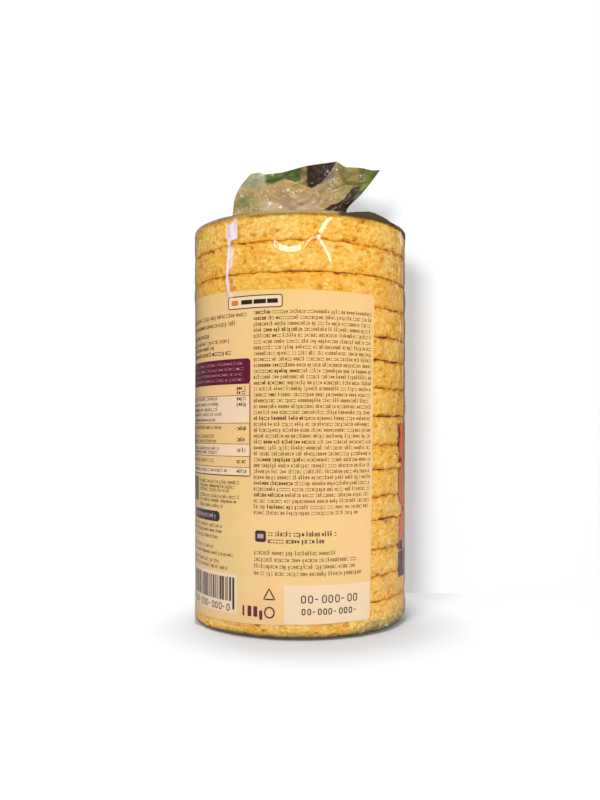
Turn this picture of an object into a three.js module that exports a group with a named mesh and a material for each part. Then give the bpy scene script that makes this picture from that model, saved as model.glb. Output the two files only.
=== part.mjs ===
// A pack of fifteen puffed lentil cakes: round cakes stacked on end in a tight clear film bag, whose
// top is gathered into a crumpled fin. The filled bag is one closed solid with the cakes' rims as
// bulges and the gaps between them as grooves. Two thin skins are the printed fields of the film.
// Millimetres, +Z up. The origin is the centre of the flat foot, and -Y faces the printed back panel.
import * as THREE from "three";

// ---- driving sizes ----
const BAG_RADIUS = 45.7; // the bag, drawn tight round the stack
const CAKE_THICKNESS = [11.6, 10.2, 10.8, 11.5, 9.4, 10.9, 9.6, 11.6, 10.9, 11.6, 9.0, 12.0, 12.0, 11.7, 10.8];
const CAKE_SHIFT = 0.35; // how far one cake stands out of line with the next
const EDGE_SHARE = 0.13; // share of a cake's thickness that rounds off at each edge
const CRAG_DEPTH = 0.9; // roughness of a puffed rim
const GAP_DEPTH = 1.8; // groove between two cakes
const GAP_UNEVEN = 0.45; // share by which a groove's depth comes and goes
const GAP_WANDER = 0.5; // how far a groove wanders up and down
const PRINTED_CALM = 0.3; // share of the relief that shows through printed, tighter film
const CALM_MARGIN = 5; // over which the relief fades in, in degrees and in mm

const FOOT_HEIGHT = 1; // folded end seal under the lowest cake
const FOOT_RADIUS = 42.6; // flat ring that the pack stands on
const FOOT_UNEVEN = 0.5;
const FOOT_ROUNDING = 1.1;
const SEAL_CORNER = { size: 1.3, angle: -88, spread: 9 }; // tip of the folded seal, out at the left
const SHOULDER_DROP = 0.7; // how far the film has turned inwards at the top cake's rim

// The gathered top, as levels of height, left edge, right edge, half depth and roundness, which is
// 1 for an ellipse and less where the loop is flat with blunt ends.
const TENT_LEVELS = [
  { height: 166.4, left: -44.2, right: 44.0, halfDepth: 42.6, roundness: 1 },
  { height: 168.4, left: -38.8, right: 39.2, halfDepth: 30.5, roundness: 0.92 },
  { height: 170.8, left: -33.0, right: 34.5, halfDepth: 17.5, roundness: 0.8 },
];
const FIN_LEVELS = [
  { height: 174.6, left: -29.5, right: 20.6, halfDepth: 5.6, roundness: 0.5 },
  { height: 181.5, left: -28.9, right: 24.4, halfDepth: 3.4, roundness: 0.5 },
  { height: 187.5, left: -26.4, right: 29.2, halfDepth: 2.2, roundness: 0.5 },
];
const FIN_TOP = { left: -21.6, right: 35.2, halfDepth: 0.9, roundness: 0.5 };
const FIN_PEAK = { x: 16.1, height: 198.9 };
const FIN_LEFT_HEIGHT = 193.2;
const FIN_RIGHT_HEIGHT = 194.9;
const FIN_NOTCH = 2.2; // drop just right of the peak
const FIN_WAVE = 4; // how far the fin winds to the front and the back at its top edge
const FIN_WAVE_LENGTH = 27;
const FIN_LIFT = 0.35; // share of the top edge's slope that the levels below it have
const PLEAT_LENGTH = 8.5; // from one fold of the gathered film to the next
const PLEAT_DEPTH = 1.8;
const TOP_PLEAT_DEPTH = 0.4;
const BACK_PLEAT_TURN = 0.4; // how far the folds at the back are out of step with the front's

const PANEL_GAP = 0.35; // skin clear of the bag
const PANEL_THICKNESS = 0.4;
const BACK_PANEL = { fromAngle: -118, topAngle: 40.5, bottomAngle: 37.5, bottom: 6.2, top: 135.3 };
const FRONT_PANEL = { fromAngle: 65, topAngle: 218, bottomAngle: 218, bottom: 20, top: 84 };

const RING_POINTS = 90;
const FINE_CELLS = 45; // noise cells round the pack, for small crags
const MIDDLE_CELLS = 30;
const COARSE_CELLS = 18;
const PANEL_STEP_DEGREES = 5;
const PANEL_STEP_HEIGHT = 11;

// Noise rows, one for each use. A cake adds its own number to the last four.
const NOISE_ROW = { foot: 90, footTurn: 91, shoulder: 95, fineCrag: 0, coarseCrag: 50, wander: 20, depth: 40 };

const radians = THREE.MathUtils.degToRad;
const wrapDegrees = (angle) => ((((angle + 180) % 360) + 360) % 360) - 180;
const smooth = (from, to, value) => THREE.MathUtils.smoothstep(value, from, to);

// Seeded value in -1..1 for a whole-numbered cell.
function cellValue(column, row) {
  const mixed = Math.sin(column * 127.1 + row * 311.7 + 17.3) * 43758.5453;
  return 2 * (mixed - Math.floor(mixed)) - 1;
}

// Value noise that closes round the ring: cells columns, one row for each use.
function ringNoise(angle, row, cells) {
  const place = ((wrapDegrees(angle) + 180) / 360) * cells;
  const column = Math.floor(place);
  const share = place - column;
  const blend = share * share * (3 - 2 * share);
  return THREE.MathUtils.lerp(cellValue(column % cells, row), cellValue((column + 1) % cells, row), blend);
}

// Triangle wave from 0 to 1, whose corners are the creases of a fold.
function fold(turns) {
  const share = turns - Math.floor(turns);
  return 1 - Math.abs(2 * share - 1);
}

// 1 where the film is printed and smooth, 0 where it is clear and the crags show.
function printedShare(angle, height) {
  const inside = (panel) => {
    const middle = (panel.fromAngle + panel.topAngle) / 2;
    const halfSpan = (panel.topAngle - panel.fromAngle) / 2;
    const away = Math.abs(wrapDegrees(angle - middle)) - halfSpan;
    const beyond = Math.max(panel.bottom - height, height - panel.top);
    return (1 - smooth(-CALM_MARGIN, 0, away)) * (1 - smooth(-CALM_MARGIN, 0, beyond));
  };
  return Math.max(inside(BACK_PANEL), inside(FRONT_PANEL));
}

function circlePoint(angle, radius, height) {
  const turn = radians(angle);
  return new THREE.Vector3(radius * Math.sin(turn), -radius * Math.cos(turn), height);
}

function ring(pointAt) {
  return Array.from({ length: RING_POINTS }, (_, i) => pointAt((360 * i) / RING_POINTS));
}

// Flat foot with the tip of the folded seal at the left.
function footRings() {
  const corner = (angle) => {
    const away = Math.abs(wrapDegrees(angle - SEAL_CORNER.angle));
    return SEAL_CORNER.size * (1 - smooth(0, SEAL_CORNER.spread, away));
  };
  const uneven = (angle) => FOOT_UNEVEN * ringNoise(angle, NOISE_ROW.foot, COARSE_CELLS);
  const turn = (angle) => FOOT_UNEVEN * ringNoise(angle, NOISE_ROW.footTurn, MIDDLE_CELLS);
  return [
    ring((angle) => circlePoint(angle, FOOT_RADIUS / 2, 0)),
    ring((angle) => circlePoint(angle, FOOT_RADIUS + uneven(angle) + 2 * corner(angle), 0)),
    ring((angle) => circlePoint(angle, BAG_RADIUS - FOOT_ROUNDING + turn(angle) + corner(angle), FOOT_HEIGHT)),
  ];
}

// One cake: the groove below it and the two edges of its craggy rim.
function cakeRings(index, bottom, thickness) {
  const lean = 180 * cellValue(index, 5);
  const shift = (angle) => CAKE_SHIFT * Math.cos(radians(angle - lean));
  const relief = (angle, height) => THREE.MathUtils.lerp(1, PRINTED_CALM, printedShare(angle, height));
  const rim = (share, row) =>
    ring((angle) => {
      const height = bottom + share * thickness;
      const fine = ringNoise(angle, NOISE_ROW.fineCrag + row, FINE_CELLS);
      const coarse = ringNoise(angle, NOISE_ROW.coarseCrag + row, COARSE_CELLS);
      const crag = THREE.MathUtils.lerp(fine, coarse, 0.4);
      const inward = CRAG_DEPTH * (0.5 - 0.5 * crag) - shift(angle);
      return circlePoint(angle, BAG_RADIUS - Math.max(0, inward * relief(angle, height)), height);
    });
  const groove = ring((angle) => {
    const wander = GAP_WANDER * ringNoise(angle, NOISE_ROW.wander + index, COARSE_CELLS);
    const depth = GAP_DEPTH * (1 + GAP_UNEVEN * ringNoise(angle, NOISE_ROW.depth + index, MIDDLE_CELLS));
    return circlePoint(angle, BAG_RADIUS - depth * relief(angle, bottom), bottom + wander);
  });
  const rims = [rim(EDGE_SHARE, 2 * index), rim(1 - EDGE_SHARE, 2 * index + 1)];
  return index === 0 ? rims : [groove, ...rims];
}

// The rims of all the cakes, and the film's turn over the top one.
function stackRings() {
  let bottom = FOOT_HEIGHT;
  const rings = CAKE_THICKNESS.flatMap((thickness, index) => {
    const made = cakeRings(index, bottom, thickness);
    bottom += thickness;
    return made;
  });
  const uneven = (angle) => (SHOULDER_DROP / 2) * ringNoise(angle, NOISE_ROW.shoulder, COARSE_CELLS);
  return [...rings, ring((angle) => circlePoint(angle, BAG_RADIUS - SHOULDER_DROP + uneven(angle), bottom))];
}

// Height of the fin's top edge over x: it climbs to the peak, drops and runs out to the right tip.
function finTopHeight(x) {
  if (x < FIN_PEAK.x) {
    const share = (x - FIN_TOP.left) / (FIN_PEAK.x - FIN_TOP.left);
    return THREE.MathUtils.lerp(FIN_LEFT_HEIGHT, FIN_PEAK.height, share ** 1.4);
  }
  const share = (x - FIN_PEAK.x) / (FIN_TOP.right - FIN_PEAK.x);
  const straight = THREE.MathUtils.lerp(FIN_PEAK.height, FIN_RIGHT_HEIGHT, share);
  return straight - FIN_NOTCH * fold(Math.min(share * 1.6, 1));
}

// One level of the gathered film: a flattened loop whose faces are pleated outwards and whose
// middle line winds to the front and the back by wave.
function gatherRing(level, pleat, wave, heightAt) {
  const centre = (level.left + level.right) / 2;
  const halfWidth = (level.right - level.left) / 2;
  return ring((angle) => {
    const turn = radians(angle);
    const x = centre + halfWidth * Math.sin(turn);
    const front = Math.cos(turn) > 0;
    const across = Math.abs(Math.cos(turn));
    const folds = fold(x / PLEAT_LENGTH + (front ? 0 : BACK_PLEAT_TURN));
    const depth = level.halfDepth * across ** level.roundness + pleat * folds * Math.min(1, across * 2);
    const winding = wave * Math.sin((2 * Math.PI * (x - FIN_TOP.left)) / FIN_WAVE_LENGTH);
    return new THREE.Vector3(x, winding + (front ? -depth : depth), heightAt(x, level));
  });
}

function gatherRings() {
  const flat = (x, level) => level.height;
  const tent = TENT_LEVELS.map((level, i) => gatherRing(level, (PLEAT_DEPTH * i) / TENT_LEVELS.length, 0, flat));
  const fin = FIN_LEVELS.map((level, i) => {
    const climb = (i + 0.4) / FIN_LEVELS.length;
    const pleat = THREE.MathUtils.lerp(PLEAT_DEPTH, TOP_PLEAT_DEPTH, 0.7 * climb);
    const topAt = (x) => finTopHeight(THREE.MathUtils.clamp(x, FIN_TOP.left, FIN_TOP.right));
    const lift = (x) => FIN_LIFT * climb * (topAt(x) - FIN_LEFT_HEIGHT);
    return gatherRing(level, pleat, FIN_WAVE * climb, (x) => level.height + lift(x));
  });
  return [...tent, ...fin, gatherRing(FIN_TOP, TOP_PLEAT_DEPTH, FIN_WAVE, finTopHeight)];
}

// A closed body over rings that are stacked from bottom to top: a fan closes the foot, and the
// last ring's front and back are joined in pairs, because it is a flat loop.
function loftGeometry(rings) {
  const corners = rings.flat();
  const at = (level, i) => level * RING_POINTS + ((i + RING_POINTS) % RING_POINTS);
  const faces = [];
  for (let level = 0; level + 1 < rings.length; level++) {
    for (let i = 0; i < RING_POINTS; i++) {
      faces.push(at(level, i), at(level, i + 1), at(level + 1, i + 1));
      faces.push(at(level, i), at(level + 1, i + 1), at(level + 1, i));
    }
  }
  const foot = corners.push(new THREE.Vector3(0, 0, 0)) - 1;
  for (let i = 0; i < RING_POINTS; i++) {
    faces.push(foot, at(0, i + 1), at(0, i));
  }
  const last = rings.length - 1;
  const quarter = Math.floor(RING_POINTS / 4);
  const behind = (i) => at(last, RING_POINTS / 2 - i);
  for (let i = -quarter; i < quarter; i++) {
    faces.push(at(last, i), at(last, i + 1), behind(i + 1));
    faces.push(at(last, i), behind(i + 1), behind(i));
  }
  return geometryOf(corners, faces);
}

function geometryOf(corners, faces) {
  const geometry = new THREE.BufferGeometry();
  geometry.setFromPoints(corners);
  geometry.setIndex(faces);
  geometry.computeVertexNormals();
  return geometry;
}

// A printed field as a thin curved plate. Its last edge slants between two angles.
function panelGeometry(panel) {
  const columns = Math.round((panel.topAngle - panel.fromAngle) / PANEL_STEP_DEGREES);
  const rows = Math.round((panel.top - panel.bottom) / PANEL_STEP_HEIGHT);
  const inner = BAG_RADIUS + PANEL_GAP;
  const corners = [];
  for (const radius of [inner, inner + PANEL_THICKNESS]) {
    for (let row = 0; row <= rows; row++) {
      const climb = row / rows;
      const lastAngle = THREE.MathUtils.lerp(panel.bottomAngle, panel.topAngle, climb);
      for (let column = 0; column <= columns; column++) {
        const angle = THREE.MathUtils.lerp(panel.fromAngle, lastAngle, column / columns);
        corners.push(circlePoint(angle, radius, THREE.MathUtils.lerp(panel.bottom, panel.top, climb)));
      }
    }
  }
  const layer = (rows + 1) * (columns + 1);
  const at = (side, row, column) => side * layer + row * (columns + 1) + column;
  const faces = [];
  const quad = (a, b, c, d) => faces.push(a, b, c, a, c, d);
  for (let row = 0; row < rows; row++) {
    for (let column = 0; column < columns; column++) {
      quad(at(1, row, column), at(1, row, column + 1), at(1, row + 1, column + 1), at(1, row + 1, column));
      quad(at(0, row, column), at(0, row + 1, column), at(0, row + 1, column + 1), at(0, row, column + 1));
    }
    quad(at(0, row, 0), at(1, row, 0), at(1, row + 1, 0), at(0, row + 1, 0));
    quad(at(1, row, columns), at(0, row, columns), at(0, row + 1, columns), at(1, row + 1, columns));
  }
  for (let column = 0; column < columns; column++) {
    quad(at(0, 0, column), at(0, 0, column + 1), at(1, 0, column + 1), at(1, 0, column));
    quad(at(1, rows, column), at(1, rows, column + 1), at(0, rows, column + 1), at(0, rows, column));
  }
  return geometryOf(corners, faces);
}

function namedMesh(name, geometry, finish) {
  const mesh = new THREE.Mesh(geometry, new THREE.MeshStandardMaterial(finish));
  mesh.name = name;
  return mesh;
}

const lentilCakes = { color: 0xe8b45c, roughness: 0.75, metalness: 0 };
const creamInk = { color: 0xf8cf8c, roughness: 0.5, metalness: 0 };
const coralInk = { color: 0xd8624c, roughness: 0.45, metalness: 0 };

const pack = new THREE.Group();
pack.add(namedMesh("filled_bag", loftGeometry([...footRings(), ...stackRings(), ...gatherRings()]), lentilCakes));
pack.add(namedMesh("back_print", panelGeometry(BACK_PANEL), creamInk));
pack.add(namedMesh("front_print", panelGeometry(FRONT_PANEL), coralInk));

export default pack;
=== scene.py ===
# A standing pack of fifteen puffed lentil cakes in a tight clear film bag, dressed round its solids.
# The bag becomes a creased film with a gathered fin, fifteen separate cakes with craggy puffed rims,
# and the printed fields of the film with their marks. Shape functions work in millimetres and
# radians. Angle 0 faces -Y, which is the middle of the printed back panel, and angles grow towards +X.
from itertools import product

import bpy
import numpy as np
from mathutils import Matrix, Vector


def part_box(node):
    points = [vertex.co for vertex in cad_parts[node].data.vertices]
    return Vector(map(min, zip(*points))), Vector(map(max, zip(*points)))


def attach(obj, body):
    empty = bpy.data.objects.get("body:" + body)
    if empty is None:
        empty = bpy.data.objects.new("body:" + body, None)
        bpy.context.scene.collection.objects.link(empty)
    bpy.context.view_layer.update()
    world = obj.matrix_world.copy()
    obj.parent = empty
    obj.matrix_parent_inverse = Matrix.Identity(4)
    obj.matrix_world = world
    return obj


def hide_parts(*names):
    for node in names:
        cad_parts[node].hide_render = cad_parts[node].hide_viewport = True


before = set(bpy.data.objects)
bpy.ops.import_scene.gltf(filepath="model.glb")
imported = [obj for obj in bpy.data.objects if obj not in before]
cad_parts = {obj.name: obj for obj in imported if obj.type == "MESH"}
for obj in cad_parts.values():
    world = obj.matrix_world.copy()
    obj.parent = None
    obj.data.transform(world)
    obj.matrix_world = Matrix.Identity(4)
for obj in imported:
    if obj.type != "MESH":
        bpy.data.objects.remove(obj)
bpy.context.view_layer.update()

MM = 0.001
bag_low, bag_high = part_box("filled_bag")

# ---- sizes, in mm ----
FILM_RADIUS = (bag_high.y - bag_low.y) / 2 / MM
PACK_TOP = bag_high.z / MM
FOOT_HEIGHT = 0.55  # the film under the lowest cake
CAKE_THICKNESS = [12.05, 10.2, 10.8, 11.5, 9.4, 10.9, 9.6, 11.6, 10.9, 11.6, 9.0, 12.0, 12.0, 11.7, 11.6]
CAKE_EDGES = FOOT_HEIGHT + np.concatenate([[0.0], np.cumsum(CAKE_THICKNESS)])
STACK_TOP = CAKE_EDGES[-1] - 0.8  # the film turns in just below the top cake's edge
CAKE_RADIUS = FILM_RADIUS - 0.4
EDGE_DEPTH = 0.5  # rounding at a cake's two edges
TOUCH = 0.02  # cakes all but touch inside their rims
CAKE_OFFSET = 0.15  # each cake stands off the axis by this much, each to another side
GAP_SHADE = 0.8  # how far from a gap the crumb's painted shade reaches
GAP_SHIFT = 40.0  # the noises of one gap and of the next are read this far apart
CRUMB_SHIFT = 23.0  # and those of one cake's crumb and of the next this far
# How warm each cake's crumb is, where 1 is well toasted.
CAKE_WARMTH = [-0.1, 0.3, 0.2, 0.3, 0.2, 0.5, 0.2, 0.3, 0.6, 0.2, 0.5, 0.4, 1.0, 0.3, 0.1]
FILM_SLACK = 0.1  # the film lies this far inside the solid's radius
FILM_SAG = 0.17  # and sags by this much over a gap
SEAL_CORNER = {"angle": np.radians(-69), "spread": np.radians(11), "size": 2.2}

# The gathered top as rings: height, left edge, right edge, half depth, roundness (1 is an ellipse),
# how evenly the columns lie across it, and how deep its pleats are.
TENT_RINGS = np.array([
    [165.8, -44.2, 43.8, 42.8, 1.0, 0.05, 0.1],
    [168.4, -38.8, 39.2, 30.5, 0.92, 0.2, 0.5],
    [170.8, -33.0, 34.5, 17.5, 0.8, 0.5, 1.0],
    [174.4, -29.6, 20.5, 5.6, 0.55, 0.9, 1.0],
])
# The fin: share of its height, left edge, right edge, half depth, pleat depth.
FIN_RINGS = np.array([
    [0.14, -29.4, 20.6, 3.6, 0.8],
    [0.48, -28.3, 26.9, 2.6, 0.8],
    [0.75, -25.6, 31.4, 1.8, 0.6],
    [1.00, -21.6, 35.2, 1.0, 0.4],
])
# The film's cut edge, as places across and heights: the back layer gives the outline, and the front
# layer ends lower, apart from two tongues.
BACK_EDGE = np.array([
    [-21.6, 193.2], [-18.0, 193.9], [-15.9, 193.0], [-7.9, 193.8], [2.9, 196.8], [16.1, PACK_TOP],
    [19.9, 196.2], [26.6, 195.9], [31.5, 194.8], [35.2, 194.9],
])
FRONT_EDGE = np.array([
    [-21.6, 193.2], [-18.0, 193.8], [-15.2, 188.2], [-12.0, 188.8], [-6.8, 191.2], [0.0, 189.0],
    [5.2, 187.0], [9.0, 189.0], [12.0, 192.5], [16.1, 198.6], [17.2, 192.5], [20.0, 188.6],
    [24.0, 188.0], [30.0, 189.6], [33.0, 192.2], [35.2, 194.9],
])
FIN_WAVE = 4.0  # how far the fin winds to the front and the back at its top edge
FIN_WAVE_LENGTH = 27.0
PLEAT_LENGTH = 7.0  # from one pleat of the fin to the next
TENT_PLEATS = 26  # pleats round the tent
PINCHED_SPOT = (0.5, 179.5)  # a fan of creases spreads from here, across and up

# The camera stands level, in front of the pack's axis. The fin's outline is as it shows from there.
CAMERA_DISTANCE = 360.0
CAMERA_HEIGHT = 81.0
FOCAL_PIXELS = 821.5  # focal length in pixels of the 600 x 800 frame
FRAME_HEIGHT = 800
HORIZON_DROP = 30  # the horizon lies this many pixels under the middle of the frame

# Printed fields of the film, as angles and heights.
BACK_PANEL = {"from": np.radians(-118), "to": np.radians(40.5), "low": 6.2, "high": 134.9}
FRONT_PANEL = {"from": np.radians(65), "to": np.radians(218), "low": 20.0, "high": 84.0}
PRINTED_CALM = 0.2  # share of the film's relief that is left where print stiffens it
# Print lies on the inside of the film, and each later layer nearer to it.
PANEL_INSET = 0.16
PALE_INSET = 0.12
MAROON_INSET = 0.1
MARK_INSET = 0.08
UPPER_INSET = 0.07
TOP_INSET = 0.06

# How finely the surfaces are cut. The film's columns lie closer together at the front.
FILM_COLUMNS = 440
FILM_TURNS = np.linspace(0, 2 * np.pi, FILM_COLUMNS, endpoint=False)
FILM_ANGLES = FILM_TURNS - 0.45 * np.sin(FILM_TURNS)
FILM_TOP_ROWS = 230
CAKE_COLUMNS = 720
RIM_ROWS = 34
TOP_CAKE_ROWS = 72
HIDDEN_TOP_ROWS = 6


# ---- noise and small helpers ----
LATTICE_SIZE = 64  # a power of two, so that a place wraps round by its low bits
LATTICE = np.random.default_rng(15).random((LATTICE_SIZE, LATTICE_SIZE, LATTICE_SIZE, 4))


def smoothstep(low, high, value):
    """0 below low, 1 above high, and a smooth rise between them."""
    share = np.clip((value - low) / (high - low), 0, 1)
    return share * share * (3 - 2 * share)


def window(value, rise_from, rise_to, fall_from, fall_to):
    """1 inside a range of values, with a smooth rise before it and a smooth fall after it."""
    return smoothstep(rise_from, rise_to, value) * (1 - smoothstep(fall_from, fall_to, value))


def soft_noise(points, size, seed=0):
    """Soft noise in -1..1: a random value at each corner of a lattice of cubes of the given size,
    blended along each axis by a smooth step."""
    scaled = points / size + 11.37 * (seed + 1)
    cell = np.floor(scaled).astype(int)
    share = scaled - cell
    share = share * share * (3 - 2 * share)
    total = np.zeros(points.shape[:-1])
    for corner in product((0, 1), repeat=3):
        weight = np.prod(np.where(corner, share, 1 - share), axis=-1)
        at = (cell + corner) & (LATTICE_SIZE - 1)
        total += weight * LATTICE[at[..., 0], at[..., 1], at[..., 2], 0]
    return 2 * total - 1


def cell_noise(points, size, seed=0):
    """Cell noise: each cube of a lattice holds one random point. Returns the distance to the nearest
    point and the step from it to the second nearest, both in cubes, and a random tone of the nearest."""
    scaled = points / np.asarray(size) + 7.91 * (seed + 1)
    base = np.floor(scaled).astype(int)
    nearest = np.full(points.shape[:-1], 9.0)
    second = np.full(points.shape[:-1], 9.0)
    tone = np.zeros(points.shape[:-1])
    for offset in product((-1, 0, 1), repeat=3):
        cell = base + offset
        at = cell & (LATTICE_SIZE - 1)
        drawn = LATTICE[at[..., 0], at[..., 1], at[..., 2]]
        distance = np.linalg.norm(cell + drawn[..., :3] - scaled, axis=-1)
        closer = distance < nearest
        second = np.where(closer, nearest, np.minimum(second, distance))
        tone = np.where(closer, drawn[..., 3], tone)
        nearest = np.where(closer, distance, nearest)
    return nearest, second - nearest, tone


def fold(turns):
    """Triangle wave between -1 and 1: straight flanks that meet in sharp creases."""
    return 4 * np.abs(turns - np.floor(turns + 0.5)) - 1


CRUMPLE_DIRECTIONS = np.random.default_rng(4).normal(size=(6, 3)) * (1, 0.5, 0.8)
CRUMPLE_DIRECTIONS /= np.linalg.norm(CRUMPLE_DIRECTIONS, axis=1, keepdims=True)


def crumple(points, size, seed=0):
    """Crumpled film in -1..1: the mean of six triangle waves in different directions, each bent by
    soft noise, so that flat facets meet in sharp creases."""
    total = np.zeros(points.shape[:-1])
    for turn, direction in enumerate(CRUMPLE_DIRECTIONS):
        bend = 0.7 * soft_noise(points, 2.2 * size, seed + turn)
        total += fold(points @ direction / (size * (1 + 0.22 * turn)) + bend + 0.37 * turn)
    return total / 3


def wrap(angle):
    """An angle as one between half a turn back and half a turn on."""
    return (angle + np.pi) % (2 * np.pi) - np.pi


def on_ring(angle, radius, height):
    """Places round the axis at an angle, a distance and a height."""
    angle, radius, height = np.broadcast_arrays(angle, radius, height)
    return np.stack([radius * np.sin(angle), -radius * np.cos(angle), height], axis=-1)


def angle_of(points):
    """The angle of each place round the axis."""
    return np.arctan2(points[..., 0], -points[..., 1])


def corner_inset(beyond, corner):
    """How far a round corner draws an edge in, at a distance from its end: a quarter circle."""
    away = np.clip(corner - beyond, 0, corner)
    return corner - np.sqrt(np.clip(corner**2 - away**2, 0, None))


def curve_through(places, values, at):
    """A smooth curve through values that are given at rising places, read at other places: cubic
    pieces whose slopes at each given place are those between its neighbours."""
    slopes = np.gradient(values, places, axis=0)
    piece = np.clip(np.searchsorted(places, at, side="right") - 1, 0, len(places) - 2)
    span = places[piece + 1] - places[piece]
    share = (at - places[piece]) / span
    shape = (-1,) + (1,) * (values.ndim - 1)
    share, span = share.reshape(shape), span.reshape(shape)
    start, end = values[piece], values[piece + 1]
    return (
        (2 * share**3 - 3 * share**2 + 1) * start + (share**3 - 2 * share**2 + share) * span * slopes[piece]
        + (3 * share**2 - 2 * share**3) * end + (share**3 - share**2) * span * slopes[piece + 1]
    )


def grid_normals(points):
    """Outward unit normals of a grid of rings: the way round crossed with the way up."""
    around = np.roll(points, -1, axis=1) - np.roll(points, 1, axis=1)
    up = np.gradient(points, axis=0)
    normal = np.cross(around, up)
    return normal / np.maximum(np.linalg.norm(normal, axis=-1, keepdims=True), 1e-9)


def ring_faces(rows, columns):
    """Corner numbers of the quads between rings, whose last column joins the first."""
    row = np.arange(rows - 1)[:, None] * columns
    column = np.arange(columns)[None, :]
    after = (column + 1) % columns
    corners = (row + column, row + after, row + columns + after, row + columns + column)
    return np.stack(corners, -1).reshape(-1, 4)


def sheet_faces(rows, columns):
    """Corner numbers of the quads of an open grid."""
    row = np.arange(rows - 1)[:, None] * columns
    column = np.arange(columns - 1)[None, :]
    first = row + column
    return np.stack([first, first + 1, first + columns + 1, first + columns], -1).reshape(-1, 4)


def start_fan(rows, columns):
    """The fan that closes the first ring over one more corner, which follows the grid."""
    turn = np.arange(columns)
    return np.stack([np.full(columns, rows * columns), (turn + 1) % columns, turn], -1).tolist()


def end_fan(rows, columns):
    """The fan that closes the last ring over a second corner after the grid."""
    turn = np.arange(columns)
    last = (rows - 1) * columns
    middle = np.full(columns, rows * columns + 1)
    return np.stack([middle, last + turn, last + (turn + 1) % columns], -1).tolist()


def new_piece(name, points, faces, material, nodes, values=None, colours=None, normals=None):
    """A mesh piece from places in mm and faces. values and colours hold one array for each attribute,
    and normals, where given, shade the piece as part of a larger surface."""
    mesh = bpy.data.meshes.new(name)
    mesh.from_pydata((np.asarray(points).reshape(-1, 3) * MM).tolist(), [], faces)
    mesh.polygons.foreach_set("use_smooth", np.ones(len(mesh.polygons), bool))
    for key, array in (values or {}).items():
        layer = mesh.attributes.new(key, "FLOAT", "POINT")
        layer.data.foreach_set("value", np.asarray(array, np.float32).ravel())
    for key, array in (colours or {}).items():
        layer = mesh.attributes.new(key, "FLOAT_COLOR", "POINT")
        whole = np.concatenate([array, np.ones(array.shape[:-1] + (1,))], axis=-1)
        layer.data.foreach_set("color", whole.astype(np.float32).ravel())
    mesh.update()
    if normals is not None:
        mesh.normals_split_custom_set_from_vertices(np.asarray(normals).reshape(-1, 3).tolist())
    mesh.materials.append(material)
    piece = bpy.data.objects.new(name, mesh)
    bpy.context.scene.collection.objects.link(piece)
    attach(piece, "root")
    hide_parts(*nodes)


# ---- materials ----
class Wiring:
    """Adds nodes to a tree. An input is a value, which is set on the socket, or an output to link."""

    def __init__(self, tree):
        self.tree = tree

    def add(self, kind, inputs=None, **settings):
        node = self.tree.nodes.new(kind)
        for key, value in settings.items():
            setattr(node, key, value)
        for key, value in (inputs or {}).items():
            if isinstance(value, bpy.types.NodeSocket):
                self.tree.links.new(value, node.inputs[key])
            else:
                node.inputs[key].default_value = value
        return node

    def math(self, operation, first, second=0.0):
        return self.add("ShaderNodeMath", {0: first, 1: second}, operation=operation).outputs[0]

    def mix(self, share, first, second, blend="MIX"):
        inputs = {0: share, 6: first, 7: second}
        return self.add("ShaderNodeMix", inputs, data_type="RGBA", blend_type=blend).outputs[2]

    def place(self):
        """Places in the object's own space, where the noises are read."""
        return self.add("ShaderNodeTexCoord").outputs["Object"]

    def attribute(self, name, output="Fac"):
        """A value or a colour that the mesh carries."""
        return self.add("ShaderNodeAttribute", attribute_name=name).outputs[output]

    def noise(self, place, size, detail=2.0):
        """Noise of 0 to 1, with its size in millimetres."""
        inputs = {"Vector": place, "Scale": 1 / (size * MM), "Detail": detail}
        return self.add("ShaderNodeTexNoise", inputs).outputs[0]

    def swing(self, noise, amount):
        """A noise of 0 to 1 as a swing about 0 of the given amount."""
        return self.math("MULTIPLY", self.math("SUBTRACT", noise, 0.5), amount)

    def spread(self, value, low, high, start, end):
        """A value between low and high, spread over start to end."""
        return self.add("ShaderNodeMapRange", {0: value, 1: low, 2: high, 3: start, 4: end}).outputs[0]

    def ramp(self, value, stops):
        """A colour for each value: places and colours, and a straight blend between them."""
        node = self.add("ShaderNodeValToRGB", {0: value})
        while len(node.color_ramp.elements) < len(stops):
            node.color_ramp.elements.new(0.5)
        for element, (place, colour) in zip(node.color_ramp.elements, stops):
            element.position = place
            element.color = colour
        return node.outputs[0]


def new_material(name):
    """An empty material and the wiring of its tree."""
    made = bpy.data.materials.new(name)
    made.use_nodes = True
    made.node_tree.nodes.clear()
    return made, Wiring(made.node_tree)


def rgb(red, green, blue):
    """A colour given from 0 to 255 on a screen, as linear light."""
    share = np.array([red, green, blue]) / 255
    return tuple(np.where(share <= 0.04045, share / 12.92, ((share + 0.055) / 1.055) ** 2.4)) + (1.0,)


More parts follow.
